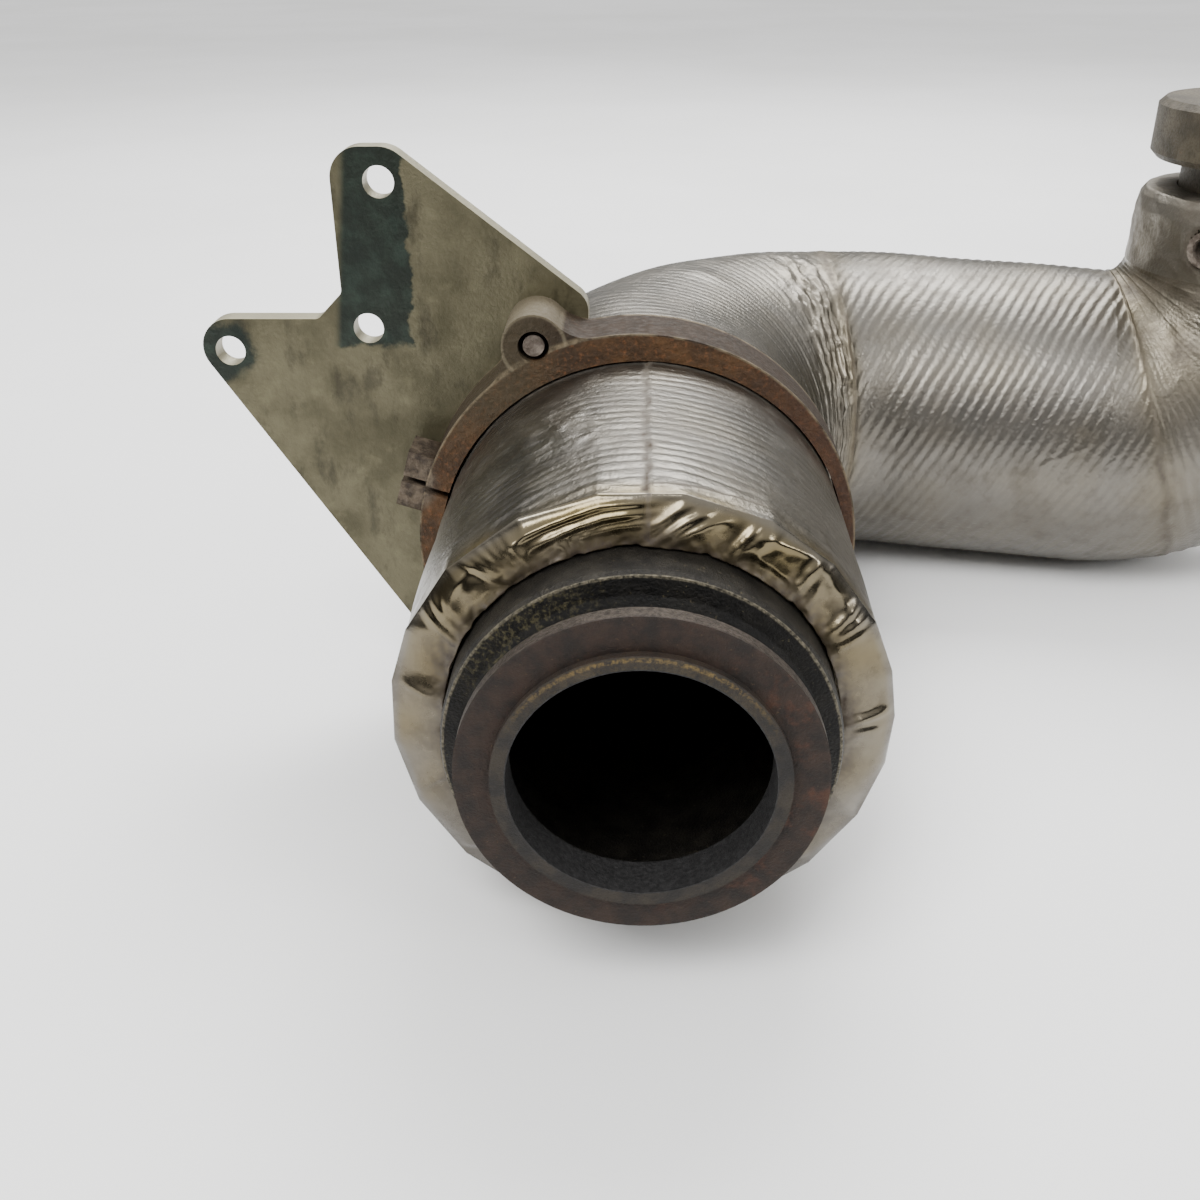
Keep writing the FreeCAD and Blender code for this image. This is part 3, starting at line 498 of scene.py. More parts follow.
def speckle(tree, place, size_mm, low, high, detail=4.0, stretch=(1, 1, 1)):
    """A mask from noise whose lumps have a real size, sharpened between two levels."""
    scaled = add(tree, "ShaderNodeVectorMath", {0: place, 1: stretch}, operation="MULTIPLY")
    grain = add(
        tree,
        "ShaderNodeTexNoise",
        {"Vector": scaled.outputs[0], "Scale": 1000 / size_mm, "Detail": detail, "Roughness": 0.62},
    )
    return span(tree, grain.outputs[0], low, high)


def span(tree, value, low, high, start=0.0, end=1.0):
    """Maps a value smoothly from one range to another, and stops at the ends."""
    mapped = add(
        tree,
        "ShaderNodeMapRange",
        {"Value": value, "From Min": low, "From Max": high, "To Min": start, "To Max": end},
        interpolation_type="SMOOTHSTEP",
    )
    return mapped.outputs[0]


def blend(tree, share, first, second):
    """A colour between two."""
    mixed = add(tree, "ShaderNodeMix", {0: share, 6: first, 7: second}, data_type="RGBA")
    return mixed.outputs[2]


def maths(tree, operation, first, second=0.0):
    """One operation on two values."""
    return add(tree, "ShaderNodeMath", {0: first, 1: second}, operation=operation).outputs[0]


def times(tree, first, second):
    """The product of two values, such as a mask and its strength."""
    return maths(tree, "MULTIPLY", first, second)


def distance(tree, place, centre, scale):
    """How far a place is from a centre in metres, each axis scaled."""
    moved = add(tree, "ShaderNodeVectorMath", {0: place, 1: centre}, operation="SUBTRACT")
    sized = add(tree, "ShaderNodeVectorMath", {0: moved.outputs[0], 1: scale}, operation="MULTIPLY")
    gap = add(tree, "ShaderNodeVectorMath", {0: sized.outputs[0]}, operation="LENGTH")
    return gap.outputs["Value"]


def stainless_foil(name, silver, straw, stain, roughness, grain):
    """Rolled stainless foil, heat tinted: soft reflections, straw patches, rough brown dirt that in
    places is painted shade, and a grey painted shade and reflection from a mask of its own.
    """
    material, tree, place = start_material(name)
    tint, soil_and_shade, painted_shade = (
        add(tree, "ShaderNodeAttribute", attribute_name=mask).outputs["Fac"]
        for mask in ("tint", "soil_and_shade", "painted_shade")
    )
    patches = speckle(tree, place, 38, 0.38, 0.7)
    fine = speckle(tree, place, 2.5, 0.3, 0.75, 6.0)
    film = speckle(tree, place, 9, 0.42, 0.72, 6.0)
    straw_share = maths(tree, "ADD", times(tree, patches, 0.16), tint)
    colour = blend(tree, straw_share, silver, straw)
    colour = blend(tree, times(tree, film, 0.22), colour, stain)
    # Brown dirt, which in some places is painted shade.
    broken = times(tree, soil_and_shade, maths(tree, "ADD", times(tree, fine, 0.7), 0.5))
    colour = blend(tree, broken, colour, stain)
    # Painted shade and painted reflection: their own mask darkens the foil towards grey.
    colour = blend(tree, painted_shade, colour, "#3a3634")
    shine = span(tree, film, 0.0, 1.0, roughness, roughness + 0.12)
    shine = maths(tree, "ADD", shine, times(tree, broken, 0.4))
    metal = span(tree, broken, 0.0, 1.0, 1.0, 0.1)
    finish_material(tree, colour, shine, metal, speckle(tree, place, 1.6, 0.2, 0.8), grain)
    return material


def rusted_steel(name, dark, brown, orange, share, size_mm, roughness, depth):
    """Steel with a skin of rust: matt, mottled from dark scale to orange powder, finely pitted."""
    material, tree, place = start_material(name)
    base = blend(tree, speckle(tree, place, size_mm, 0.35, 0.65), dark, brown)
    powder = speckle(tree, place, size_mm * 0.6, 1 - share, 1.12 - share, 8.0)
    colour = blend(tree, powder, base, orange)
    pits = speckle(tree, place, 1.1, 0.25, 0.75, 8.0)
    colour = blend(tree, span(tree, pits, 0.0, 0.5, 0.5, 0.0), colour, dark)
    shine = span(tree, pits, 0.0, 1.0, roughness + 0.15, roughness)
    finish_material(tree, colour, shine, 0.35, pits, depth)
    return material


def flange_steel():
    """Turned steel after service: rusty brown face, bright scuffed rim, sooty groove and bore,
    painted highlights on the body's edge and the lip.
    """
    material, tree, place = start_material("turned_steel_rusted")
    parts = add(tree, "ShaderNodeSeparateXYZ", {0: place}).outputs
    radius = distance(tree, place, (0, 0, 0), FROM_AXIS)
    mottle = speckle(tree, place, 7, 0.35, 0.65, 8.0)
    fine = speckle(tree, place, 1.3, 0.3, 0.7, 8.0)
    grit = speckle(tree, place, 1.4, 0.62, 0.7, 8.0)
    face = blend(tree, mottle, "#170f0a", "#2b1d14")
    patches = speckle(tree, place, 9, 0.52, 0.66, 8.0)
    orange = times(tree, patches, span(tree, parts["X"], -0.01, 0.045, 0.1, 0.7))
    face = blend(tree, times(tree, orange, 0.8), face, "#4c2b19")
    face = blend(tree, times(tree, grit, 0.3), face, "#75603f")
    rim = blend(tree, fine, "#2b2520", "#534b43")
    groove = blend(tree, mottle, "#0b0a09", "#191714")
    dusty = span(tree, distance(tree, place, DUST_SPOT, (1, 1, 1)), 0.006, 0.03, 0.8, 0.0)
    dust = times(tree, speckle(tree, place, 1.4, 0.46, 0.62, 12.0), dusty)
    groove = blend(tree, times(tree, dust, 0.8), groove, "#565038")
    groove = blend(tree, times(tree, grit, 0.35), groove, "#7d7253")
    body = blend(tree, mottle, "#1c1a17", "#312e28")
    body = blend(tree, times(tree, grit, 0.5), body, "#6d6450")
    soot = blend(tree, fine, "#0c0b0b", "#2c2b2b")
    on_rim = times(tree, span(tree, radius, *FLANGE_RIM), span(tree, parts["Y"], *FACE_BACK))
    colour = blend(tree, on_rim, face, rim)
    colour = blend(tree, span(tree, parts["Y"], *GROOVE_START), colour, groove)
    # Painted highlight: a pale broken line along the body's edge.
    edge = times(tree, span(tree, parts["Y"], *BODY_EDGE_HIGHLIGHT), span(tree, radius, *FLANGE_EDGE_HIGHLIGHT))
    colour = blend(tree, times(tree, edge, fine), colour, "#77705f")
    colour = blend(tree, span(tree, parts["Y"], *BODY_START), colour, body)
    lip = times(tree, span(tree, radius, *FLANGE_LIP), span(tree, parts["Y"], *FACE_FRONT))
    lip_colour = blend(tree, mottle, "#1a1715", "#2e2820")
    # Painted gold highlight: flecks along the top of the lip, strongest on its ridge.
    flecks = speckle(tree, place, 0.9, 0.35, 0.7, 8.0)
    painted_gold_highlight = times(tree, flecks, span(tree, parts["Z"], 0.012, 0.036))
    off_ridge = maths(tree, "ABSOLUTE", maths(tree, "SUBTRACT", radius, LIP_RIDGE))
    ridge = span(tree, off_ridge, 0.0009, 0.0003)
    painted_gold_highlight = times(tree, painted_gold_highlight, maths(tree, "ADD", times(tree, ridge, 0.55), 0.1))
    lip_colour = blend(tree, painted_gold_highlight, lip_colour, "#7d6737")
    colour = blend(tree, lip, colour, lip_colour)
    colour = blend(tree, span(tree, radius, *FLANGE_BORE), colour, soot)
    pits = speckle(tree, place, 0.9, 0.2, 0.8, 8.0)
    shine = maths(tree, "SUBTRACT", 0.72, times(tree, on_rim, 0.25))
    metal = maths(tree, "ADD", times(tree, on_rim, 0.4), 0.3)
    finish_material(tree, colour, shine, metal, pits, 0.00025)
    return material


def ring_steel():
    """Cast steel with orange rust: powdery brown faces, worn pale edges, a painted highlight on the
    ear, grainy casting skin.
    """
    material, tree, place = start_material("cast_steel_rusted")
    parts = add(tree, "ShaderNodeSeparateXYZ", {0: place}).outputs
    radius = distance(tree, place, RING_CENTRE, FROM_AXIS)
    mottle = speckle(tree, place, 10, 0.3, 0.7, 8.0)
    base = blend(tree, mottle, "#362616", "#553b20")
    base = blend(tree, speckle(tree, place, 1.8, 0.5, 0.7, 8.0), base, "#684428")
    red = span(tree, parts["X"], 0.02, 0.06, 0.0, 0.55)
    base = blend(tree, red, base, "#341d14")
    side = span(tree, radius, *RING_SIDE)
    base = blend(tree, times(tree, side, 0.8), base, "#221a0f")
    front_edge = span(tree, parts["Y"], *RING_FRONT)
    rear_edge = span(tree, parts["Y"], *RING_REAR)
    edges = maths(tree, "MAXIMUM", front_edge, rear_edge)
    worn = times(tree, span(tree, radius, *RING_WORN), edges)
    worn = times(tree, worn, span(tree, radius, *RING_UNWORN))
    worn = times(tree, worn, speckle(tree, place, 8, 0.35, 0.6, 6.0))
    left = span(tree, parts["X"], -0.02, -0.045)
    high = span(tree, parts["Z"], 0.03, 0.06)
    olive = times(tree, times(tree, left, high), 0.7)
    base = blend(tree, olive, base, "#403826")
    ear = distance(tree, place, EAR_SPOT, FROM_AXIS)
    # Painted highlight: a pale band round the ear's rounded edge.
    painted_ear_highlight = times(tree, span(tree, ear, 0.0096, 0.0105), span(tree, ear, 0.0116, 0.0108))
    painted_ear_highlight = times(tree, painted_ear_highlight, side)
    base = blend(tree, times(tree, painted_ear_highlight, 0.4), base, "#857c66")
    lug = span(tree, distance(tree, place, LUG_SPOT, FROM_AXIS), 0.014, 0.009)
    blotches = speckle(tree, place, 4, 0.35, 0.65, 8.0)
    weld = blend(tree, blotches, "#342b23", "#665a4b")
    base = blend(tree, lug, base, weld)
    colour = blend(tree, times(tree, worn, 0.6), base, "#8b7d64")
    lumps = speckle(tree, place, 2.4, 0.2, 0.8, 8.0)
    finish_material(tree, colour, span(tree, lumps, 0, 1, 0.85, 0.6), 0.3, lumps, 0.0004)
    return material


def zinc_plate():
    """Zinc-plated sheet steel, aged: olive mottle with dark bare patches and pale cut edges."""
    material, tree, place = start_material("zinc_plated_steel_aged")
    normal = add(tree, "ShaderNodeNewGeometry").outputs["Normal"]
    facing = add(tree, "ShaderNodeSeparateXYZ", {0: normal})
    edge = span(tree, maths(tree, "ABSOLUTE", facing.outputs["Y"]), 0.9, 0.5)
    cloudy = speckle(tree, place, 30, 0.3, 0.66, 5.0)
    colour = blend(tree, cloudy, "#46422f", "#635e49")
    smears = speckle(tree, place, 11, 0.52, 0.68, 6.0, (1.0, 1.0, 0.45))
    colour = blend(tree, times(tree, smears, 0.6), colour, "#2b271b")
    frost = speckle(tree, place, 9, 0.52, 0.72, 6.0)
    colour = blend(tree, times(tree, frost, 0.35), colour, "#777259")
    parts = add(tree, "ShaderNodeSeparateXYZ", {0: place}).outputs
    wavy = times(tree, speckle(tree, place, 14, 0.25, 0.75, 8.0), 0.006)
    band = span(tree, maths(tree, "ADD", parts["X"], wavy), -0.0755, -0.0772)
    above = span(tree, maths(tree, "SUBTRACT", parts["Z"], wavy), 0.0625, 0.0655)
    band = times(tree, band, above)
    slant = maths(tree, "ADD", parts["X"], times(tree, parts["Z"], -0.12))
    band = times(tree, band, span(tree, slant, -0.1165, -0.113))
    off_tip = maths(tree, "ADD", distance(tree, place, PLATE_TIP, FROM_AXIS), wavy)
    tip = span(tree, off_tip, 0.0120, 0.0165, 1.0, 0.0)
    bare = maths(tree, "MAXIMUM", band, tip)
    haze = speckle(tree, place, 8, 0.4, 0.75, 8.0)
    deep = blend(tree, haze, "#101b17", "#26342d")
    colour = blend(tree, times(tree, bare, 0.93), colour, deep)
    colour = blend(tree, times(tree, edge, 0.8), colour, "#aea88f")
    scratch = speckle(tree, place, 1.5, 0.25, 0.75, 8.0)
    finish_material(tree, colour, span(tree, cloudy, 0, 1, 0.5, 0.36), 0.55, scratch, 0.00008)
    return material


def needled_fibre():
    """Needled glass-fibre mat: matt, pale and hairy, dusty at its edge."""
    material, tree, place = start_material("needled_fibre_mat")
    hairs = speckle(tree, place, 0.9, 0.25, 0.75, 8.0, (1.0, 3.0, 1.0))
    colour = blend(tree, hairs, "#8d8168", "#cfc6b0")
    colour = blend(tree, speckle(tree, place, 6, 0.5, 0.7), colour, "#5a4a34")
    finish_material(tree, colour, 0.95, 0.0, hairs, 0.0006)
    return material


def black_felt():
    """Black felt: matt and hairy, it only darkens what faces it."""
    material, tree, place = start_material("black_felt")
    felt = speckle(tree, place, 2, 0.3, 0.7)
    shade = blend(tree, felt, "#151515", "#1d1d1d")
    finish_material(tree, shade, 0.95, 0.0, felt, 0.0003)
    return material


def matt_paper(tone):
    """Matt white paper: an even pale ground without gloss."""
    material, tree, place = start_material("matt_paper")
    shade = blend(tree, speckle(tree, place, 900, 0.3, 0.7), tone, "#f0f0ef")
    finish_material(tree, shade, 0.9, 0.0, speckle(tree, place, 3, 0, 1), 0.00002)
    return material


def flat_piece(name, corners, material):
    """A flat piece of the stage through four corners."""
    mesh = bpy.data.meshes.new(name)
    mesh.from_pydata(corners, [], [(0, 1, 2, 3)])
    mesh.materials.append(material)
    piece = bpy.data.objects.new(name, mesh)
    bpy.context.scene.collection.objects.link(piece)
    return piece


def paint(nodes, material):
    """Gives a finish to nodes of the model."""
    for name in nodes:
        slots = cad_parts[name].data.materials
        slots.clear()
        slots.append(material)


# Settings


def colour_setting(name, description, code):
    """A colour for the panel, from an sRGB hex colour."""
    return bpy.props.FloatVectorProperty(
        name=name, description=description, size=4, subtype="COLOR", default=linear(code)
    )


class FoilSettings(bpy.types.PropertyGroup):
    """Ribs and colours of the foil."""

    rib_pitch: bpy.props.FloatProperty(
        name="Rib pitch", description="Rib to rib, inlet leg, in mm", default=5.3, min=2, max=12
    )
    fine_pitch: bpy.props.FloatProperty(
        name="Fine rib pitch", description="Rib to rib, middle leg, in mm", default=4.5, min=2
    )
    rib_height: bpy.props.FloatProperty(
        name="Rib height", description="Half a rib's height, in mm", default=0.24, min=0, max=1
    )
    silver: colour_setting("Silver", "Clean foil", "#817e78")
    straw: colour_setting("Straw", "Heat-tinted foil", "#776a47")
    stain: colour_setting("Stain", "Soil and burnt dirt", "#392d1d")


class StageSettings(bpy.types.PropertyGroup):
    """Floor and lens of the stage."""

    floor: colour_setting("Floor", "Pale floor", "#fafafa")
    focal: bpy.props.FloatProperty(
        name="Focal length", description="For a 36 mm sensor", default=37.8, min=10, unit="CAMERA"
    )


def foil_of(context, name, roughness=0.3, grain=0.00012):
    """The foil's finish from the panel's colours, made once for each name."""
    known = bpy.data.materials.get(name)
    if known:
        return known
    foil = context.scene.exhaust_foil
    colours = (tuple(colour) for colour in (foil.silver, foil.straw, foil.stain))
    return stainless_foil(name, *colours, roughness, grain)


def rolled_foil(context, name, points, replaced, soil_and_shade, tint, painted_shade):
    """A sheet of the rolled foil in the place of one skin of the model."""
    masks = {"soil_and_shade": soil_and_shade, "tint": tint, "painted_shade": painted_shade}
    sheet(name, points, replaced, masks, foil_of(context, "rolled_stainless_foil"))


# Operators


class InletFoil(bpy.types.Operator):
    """Creased foil round the inlet leg, with its lapped seam along the top."""

    bl_idname = "exhaust.inlet_foil"
    bl_label = "Inlet foil"

    def execute(self, context):
        foil = context.scene.exhaust_foil
        skin, turns = inlet_skin(SHOULDER_Y, JOINT_Y, INLET_ROWS), turns_of(INLET_COLUMNS)
        flat = skin.points(turns)
        y = skin.along[:, None]
        seam = turn_gap(turns, SEAM_TURN)[None, :]
        drift = 0.55 * noise(flat, 55, 3) + 0.12 * noise(flat, 15, 4)
        shear = 0.22 * np.clip(-seam, 0, 60)
        crushed = bump(y + 0.4 * seam, 72, 17) * bump(seam, -22, 13)
        dents = 0.6 * bump(y, 37, 6) * (0.6 + 0.4 * noise(flat, 22, 5))
        crushed = np.clip(np.maximum(crushed, dents), 0, 1)
        strength = np.clip(0.47 + 0.45 * noise(flat, 30, 10), 0.1, 1.0) * (1 - 0.8 * crushed)
        height = foil.rib_height * cusps((y + shear) / foil.rib_pitch + drift) * strength
        height = height + 0.25 * noise(flat, 34, 6) - 0.1
        height = height + crushed * 0.65 * (crumple(flat, 13, 7) + 0.2)
        height = height + 0.45 * np.where(seam > 0, np.exp(-seam / 7), 0)
        step = window(seam, 1, 30, 1.5) * bump(y, SHOULDER_Y + 4 + 0.12 * seam, 1.2)
        settled = np.clip((y - SHOULDER_Y) / 4, 0, 1)
        height = (np.minimum(height, 0.62) + 0.4 * step) * settled
        height = height - flats(turns) * np.exp((SHOULDER_Y - y) / 16)
        soil_and_shade = 1.1 * bump(seam + 0.5 * noise(flat, 9, 8), -0.3, 0.85)
        soil_and_shade = soil_and_shade * (0.85 + 0.3 * noise(flat, 5, 11))
        soil_and_shade = np.maximum(soil_and_shade, 0.5 * bump(y, SHOULDER_Y, 1.2) * (0.5 + 0.5 * noise(flat, 14, 9)))
        # Dirt and a painted shadow in a line just past the lap's step.
        lap_shadow_and_dirt = bump(y, SHOULDER_Y + 5.2 + 0.12 * seam, 0.8)
        soil_and_shade = np.maximum(soil_and_shade, 0.9 * window(seam, 0, 26, 1) * lap_shadow_and_dirt)
        soil_and_shade = np.maximum(soil_and_shade, 0.5 * bump(y, 138, 4))
        tint = 0.7 * bump(y, SHOULDER_Y, 6) * (0.6 + 0.4 * noise(flat, 20, 12)) + 0.04
        # Painted shade: darker grey smears on the upper left, broken up by noise.
        painted_shade = 0.42 * bump(seam, -34, 24) * np.clip(0.35 + noise(flat, 17, 13), 0, 1)
        points = skin.points(turns, height)
        rolled_foil(context, "lagging_foil_inlet", points, "inlet_foil", soil_and_shade, tint, painted_shade)
        return {"FINISHED"}


class BendFoil(bpy.types.Operator):
    """Ribbed foil round the wide bend, gathered on its inner side and before its end seam."""

    bl_idname = "exhaust.bend_foil"
    bl_label = "Bend foil"

    def execute(self, context):
        foil = context.scene.exhaust_foil
        skin, turns = bend_skin(STRAIGHT_ROWS, BEND_ROWS), turns_of(BEND_COLUMNS)
        flat = skin.points(turns)
        along = skin.along[:, None]
        end = skin.along[-1]
        inner = np.clip(-np.cos(turns), -1, 1)[None, :]
        in_bend = (along > BEND_START) * 1.0
        spacing = 1 - in_bend * 0.66 * inner
        run = along - end
        ring_turn = turn_gap(turns, 128)[None, :]
        drift = 0.3 * noise(flat, 70, 21) + 0.08 * noise(flat, 18, 22)
        spaced = np.clip(spacing, 0.25, 1.2)
        start = WOUND_START - 2 - 26 * window(np.degrees(turns)[None, :], 106, 235, 22)
        bent = cusps(along / 4.6 + 0.6 * np.sin(turns)[None, :] + drift) * spaced
        wound = wound_ribs(run * (1 - 0.66 * inner), turns[None, :], flat)
        height = foil.rib_height * np.where(run < start, 0.55 * bent, WOUND_HEIGHT * wound)
        reach = start - 17 + 0.1 * ring_turn
        spread = 12 + 0.2 * np.clip(ring_turn + 35, 0, 60)
        wedge = bump(run, reach, spread) * bump(ring_turn, 6, 42) * (run < start + 1)
        folds = 2.2 + 0.7 * noise(flat, 30, 23)
        pleats = ridge_line(((along + 0.16 * turn_gap(turns, 90)[None, :]) % 7.5) - 3.0, folds)
        height = height * (1 - 0.8 * wedge) + wedge * (1.1 * pleats - 0.3)
        tucks = in_bend * np.clip(inner - 0.45, 0, 1) ** 0.7 * (run < start)
        height = height + tucks * 0.6 * (ridge_line((along % 11) - 5, 2.2) - 0.3)
        height = height + 0.4 * noise(flat, 45, 24) + wedge * 1.1 * crumple(flat, 9, 25)
        lap = bump(run, -118, 7) * bump(ring_turn, -33, 8)
        height = height + 0.45 * bump(run, start, 3.5) + 0.9 * lap
        height = np.clip(height, -1.2, 1.5)
        hidden = along < RING_BACK
        height = np.where(hidden, np.clip(height, -0.8, 0.6), height)
        ragged = run + 0.9 * noise(flat, 12, 26)
        soil_and_shade = 0.85 * bump(ragged, start - 1, 2.4) * (0.75 + 0.25 * noise(flat, 8, 28))
        soil_and_shade = np.maximum(soil_and_shade, wedge * 0.3 * (0.5 + 0.5 * noise(flat, 10, 27)))
        soil_and_shade = np.maximum(soil_and_shade, 0.6 * bump(along, 163, 4))
        tint = 0.06 + 0.2 * wedge + 0.25 * bump(run, start, 8)
        # Painted shade on the wound part: a dark belt at the front and a darker underside; a faint
        # even painted shade before it.
        painted_shade = np.where(run > start, belt_and_underside_shade(np.degrees(turns)[None, :]), 0.08)
        points = skin.points(turns, height)
        rolled_foil(context, "lagging_foil_bend", points, "bend_foil", soil_and_shade, tint, painted_shade)
        return {"FINISHED"}


class MiddleFoil(bpy.types.Operator):
    """Foil wound on a bias round the middle leg, so that its ribs lean."""

    bl_idname = "exhaust.middle_foil"
    bl_label = "Middle foil"

    def execute(self, context):
        foil = context.scene.exhaust_foil
        skin, turns = middle_skin(MIDDLE_ROWS), turns_of(MIDDLE_COLUMNS)
        flat = skin.points(turns)
        along = skin.along[:, None]
        height = WOUND_HEIGHT * foil.rib_height * wound_ribs(along, turns[None, :], flat)
        height = height + 0.4 * noise(flat, 45, 24)
        scratch = bump(turn_gap(turns, 176)[None, :] + 0.5 * (along - 70), 0, 0.8)
        scratch = scratch * window(along, 58, 78, 2)
        height = np.clip(height + 0.35 * scratch, -1.1, 0.9)
        soil_and_shade = 0.15 * np.clip(noise(flat, 18, 44), 0, 1)
        tint = 0.05 + 0.1 * np.clip(noise(flat, 40, 45), 0, 1)
        # Painted shade: a dark belt at the front and a darker underside.
        painted_shade = belt_and_underside_shade(np.degrees(turns)[None, :])
        points = skin.points(turns, height)
        rolled_foil(context, "lagging_foil_middle", points, "middle_foil", soil_and_shade, tint, painted_shade)
        return {"FINISHED"}


class ElbowFoil(bpy.types.Operator):
    """Foil folded round the tight outlet elbow, with tucks at its inner corner."""

    bl_idname = "exhaust.elbow_foil"
    bl_label = "Elbow foil"

    def execute(self, context):
        foil = context.scene.exhaust_foil
        skin, turns = elbow_skin(ELBOW_ROWS), turns_of(ELBOW_COLUMNS)
        flat = skin.points(turns)
        along = skin.along[:, None]
        inner = np.clip(-np.cos(turns), -1, 1)[None, :]
        share = np.linspace(0, 1, ELBOW_ROWS)[:, None]
        drift = 0.5 * noise(flat, 60, 61) + 0.1 * noise(flat, 16, 62)
        winding = 9 * turns[None, :] / (2 * math.pi)
        late = np.clip((1 - inner) ** 2.2, 0.01, 1.2) * ribs(along / 3.9 + winding + drift)
        local = share * ELBOW_TURN * (START_REACH + MIDDLE_SKIN * np.cos(turns)[None, :])
        early = wound_ribs(MIDDLE_RUN + local, math.radians(270) - turns[None, :], flat)
        height = foil.rib_height * np.where(share < WOUND_END, WOUND_HEIGHT * early, late)
        tucked = np.clip(inner + 0.1, 0, 1) * window(share, WOUND_END, 2, 0.05)
        folds = ridge_line(((along + 3 * noise(flat, 40, 68)) % 19) - 7, 3.5)
        height = height + tucked * (0.15 * folds - 0.05) + 0.4 * noise(flat, 45, 24)
        height = height + tucked * 0.25 * crumple(flat, 16, 64)
        height = height + 0.4 * bump(share, WOUND_END, 0.02)
        ending = np.where(share > 0.9, np.clip((1 - share) * 10, 0.1, 1), 1)
        height = np.clip(height, -1.2, 1.3) * ending
        soil_and_shade = tucked * (0.3 + 0.45 * noise(flat, 15, 65))
        edge = share + 0.006 * noise(flat, 12, 66)
        taped = 0.75 * bump(edge, WOUND_END, 0.012) * (0.7 + 0.3 * noise(flat, 9, 67))
        soil_and_shade = np.maximum(soil_and_shade, taped)
        tint = 0.08 + 0.3 * tucked + 0.15 * bump(share, WOUND_END, 0.06)
        # Painted shade: the belt at the front and the darker underside fade up the elbow, while an
        # even painted shade grows.
        painted_shade = 0.12 * share + belt_and_underside_shade(270 - np.degrees(turns)[None, :]) * (1 - share)
        points = skin.points(turns, height)
        rolled_foil(context, "lagging_foil_elbow", points, "elbow_foil", soil_and_shade, tint, painted_shade)
        return {"FINISHED"}


class InletCap(bpy.types.Operator):
    """The gathered end of the inlet foil: long folds, sharp pleats and a crushed edge."""

    bl_idname = "exhaust.inlet_cap"
    bl_label = "Gathered inlet end"

    def execute(self, context):
        turns, share = turns_of(END_COLUMNS), np.linspace(0, 1, END_ROWS)[:, None]
        degrees = np.degrees(turns)[None, :]
        relief = np.zeros((END_ROWS, END_COLUMNS))
        for inner, outer, first, last, width, high in RADIAL_FOLDS:
            gap = turn_gap(turns[None, :], inner + (outer - inner) * share)
            relief += high * ridge_line(gap, width) * window(share, first, last, 0.06)
        for first, last, inner, outer, width, high in RING_FOLDS:
            line = inner + (outer - inner) * (degrees - first) / (last - first)
            fold = high * ridge_line((share - line) / width, 1.2)
            relief += fold * window(degrees, first, last, 1.6)
        radius = PIPE + 0.5 + (INLET_SKIN - 0.5 - PIPE) * share + 0 * degrees
        depth = TORN_Y + 4.4 * share**2.2 + 0 * degrees
        flat = np.stack([radius * np.cos(turns), depth, radius * np.sin(turns)], -1)
        ragged = (1 - share) ** 4 * (0.8 * noise(flat, 7, 71) + 0.4 * noise(flat, 2.6, 72))
        relief = relief - 0.25 + 0.35 * noise(flat, 16, 77) + 0.1 * crumple(flat, 10, 73)
        relief = 1.5 * soften(relief, 2)
        fade = np.sin(math.pi * np.clip(share * 0.8 + 0.2, 0, 1)) ** 0.5
        depth = depth - np.clip(relief, -0.9, 2.1) * fade * 0.9 + 0.6 * ragged
        radius = radius + 0.35 * np.clip(relief, -1, 1.5) * share * (1 - share) * 4
        radius = radius + np.abs(ragged) * 0.35 - flats(turns)[None, :] * share**2
        depth = np.maximum(depth, TORN_Y - 1.1)
        depth = np.concatenate([depth, 0 * depth[-1:] + SHOULDER_Y + 3.0])
        radius = np.concatenate([radius, radius[-1:] - 0.5])
        share, relief, flat = (np.concatenate([old, old[-1:]]) for old in (share, relief, flat))
        arm = LEFT * np.cos(turns)[:, None] + TOP * np.sin(turns)[:, None]
        centre = np.stack([0 * depth, depth, -SAG * share + 0 * depth], -1)
        points = arm[None] * radius[:, :, None] + centre
        soil_and_shade = (1 - share) ** 3.4 * 0.9 + 0.9 * bump(turn_gap(turns, SEAM_TURN)[None, :], 0, 0.6)
        high = np.sin(turns)[None, :]
        # Painted shade in the fold hollows, and brown patches of dirt.
        soil_and_shade = soil_and_shade + 0.2 * np.clip(-relief, 0, 1) + 0.2 * np.clip(noise(flat, 12, 74), 0, 1)
        # Painted shade: darker on the lower half, towards the torn edge.
        soil_and_shade = soil_and_shade + 0.35 * np.clip(-high, 0, 1) * (1 - share)
        tint = 0.45 + 0.4 * high + 0.12 * noise(flat, 16, 75) - 0.45 * window(share, 0.9, 2, 0.03)
        # Darker grey over the whole end and in patches towards the torn edge, with painted shade
        # deeper on the lower half.
        painted_shade = 0.28 + 0.2 * np.clip(-high, 0, 1)
        painted_shade = painted_shade + 0.15 * np.clip(noise(flat, 25, 76), 0, 1) * (1 - share)
        piece = sheet(
            "lagging_foil_end",
            points,
            "inlet_foil_cap",
            {"soil_and_shade": soil_and_shade, "tint": tint, "painted_shade": painted_shade},
            foil_of(context, "gathered_stainless_foil", 0.17, 0.00002),
        )
        thick = piece.modifiers.new("gauge", "SOLIDIFY")
        thick.thickness = 0.0003
        thick.offset = 0
        return {"FINISHED"}


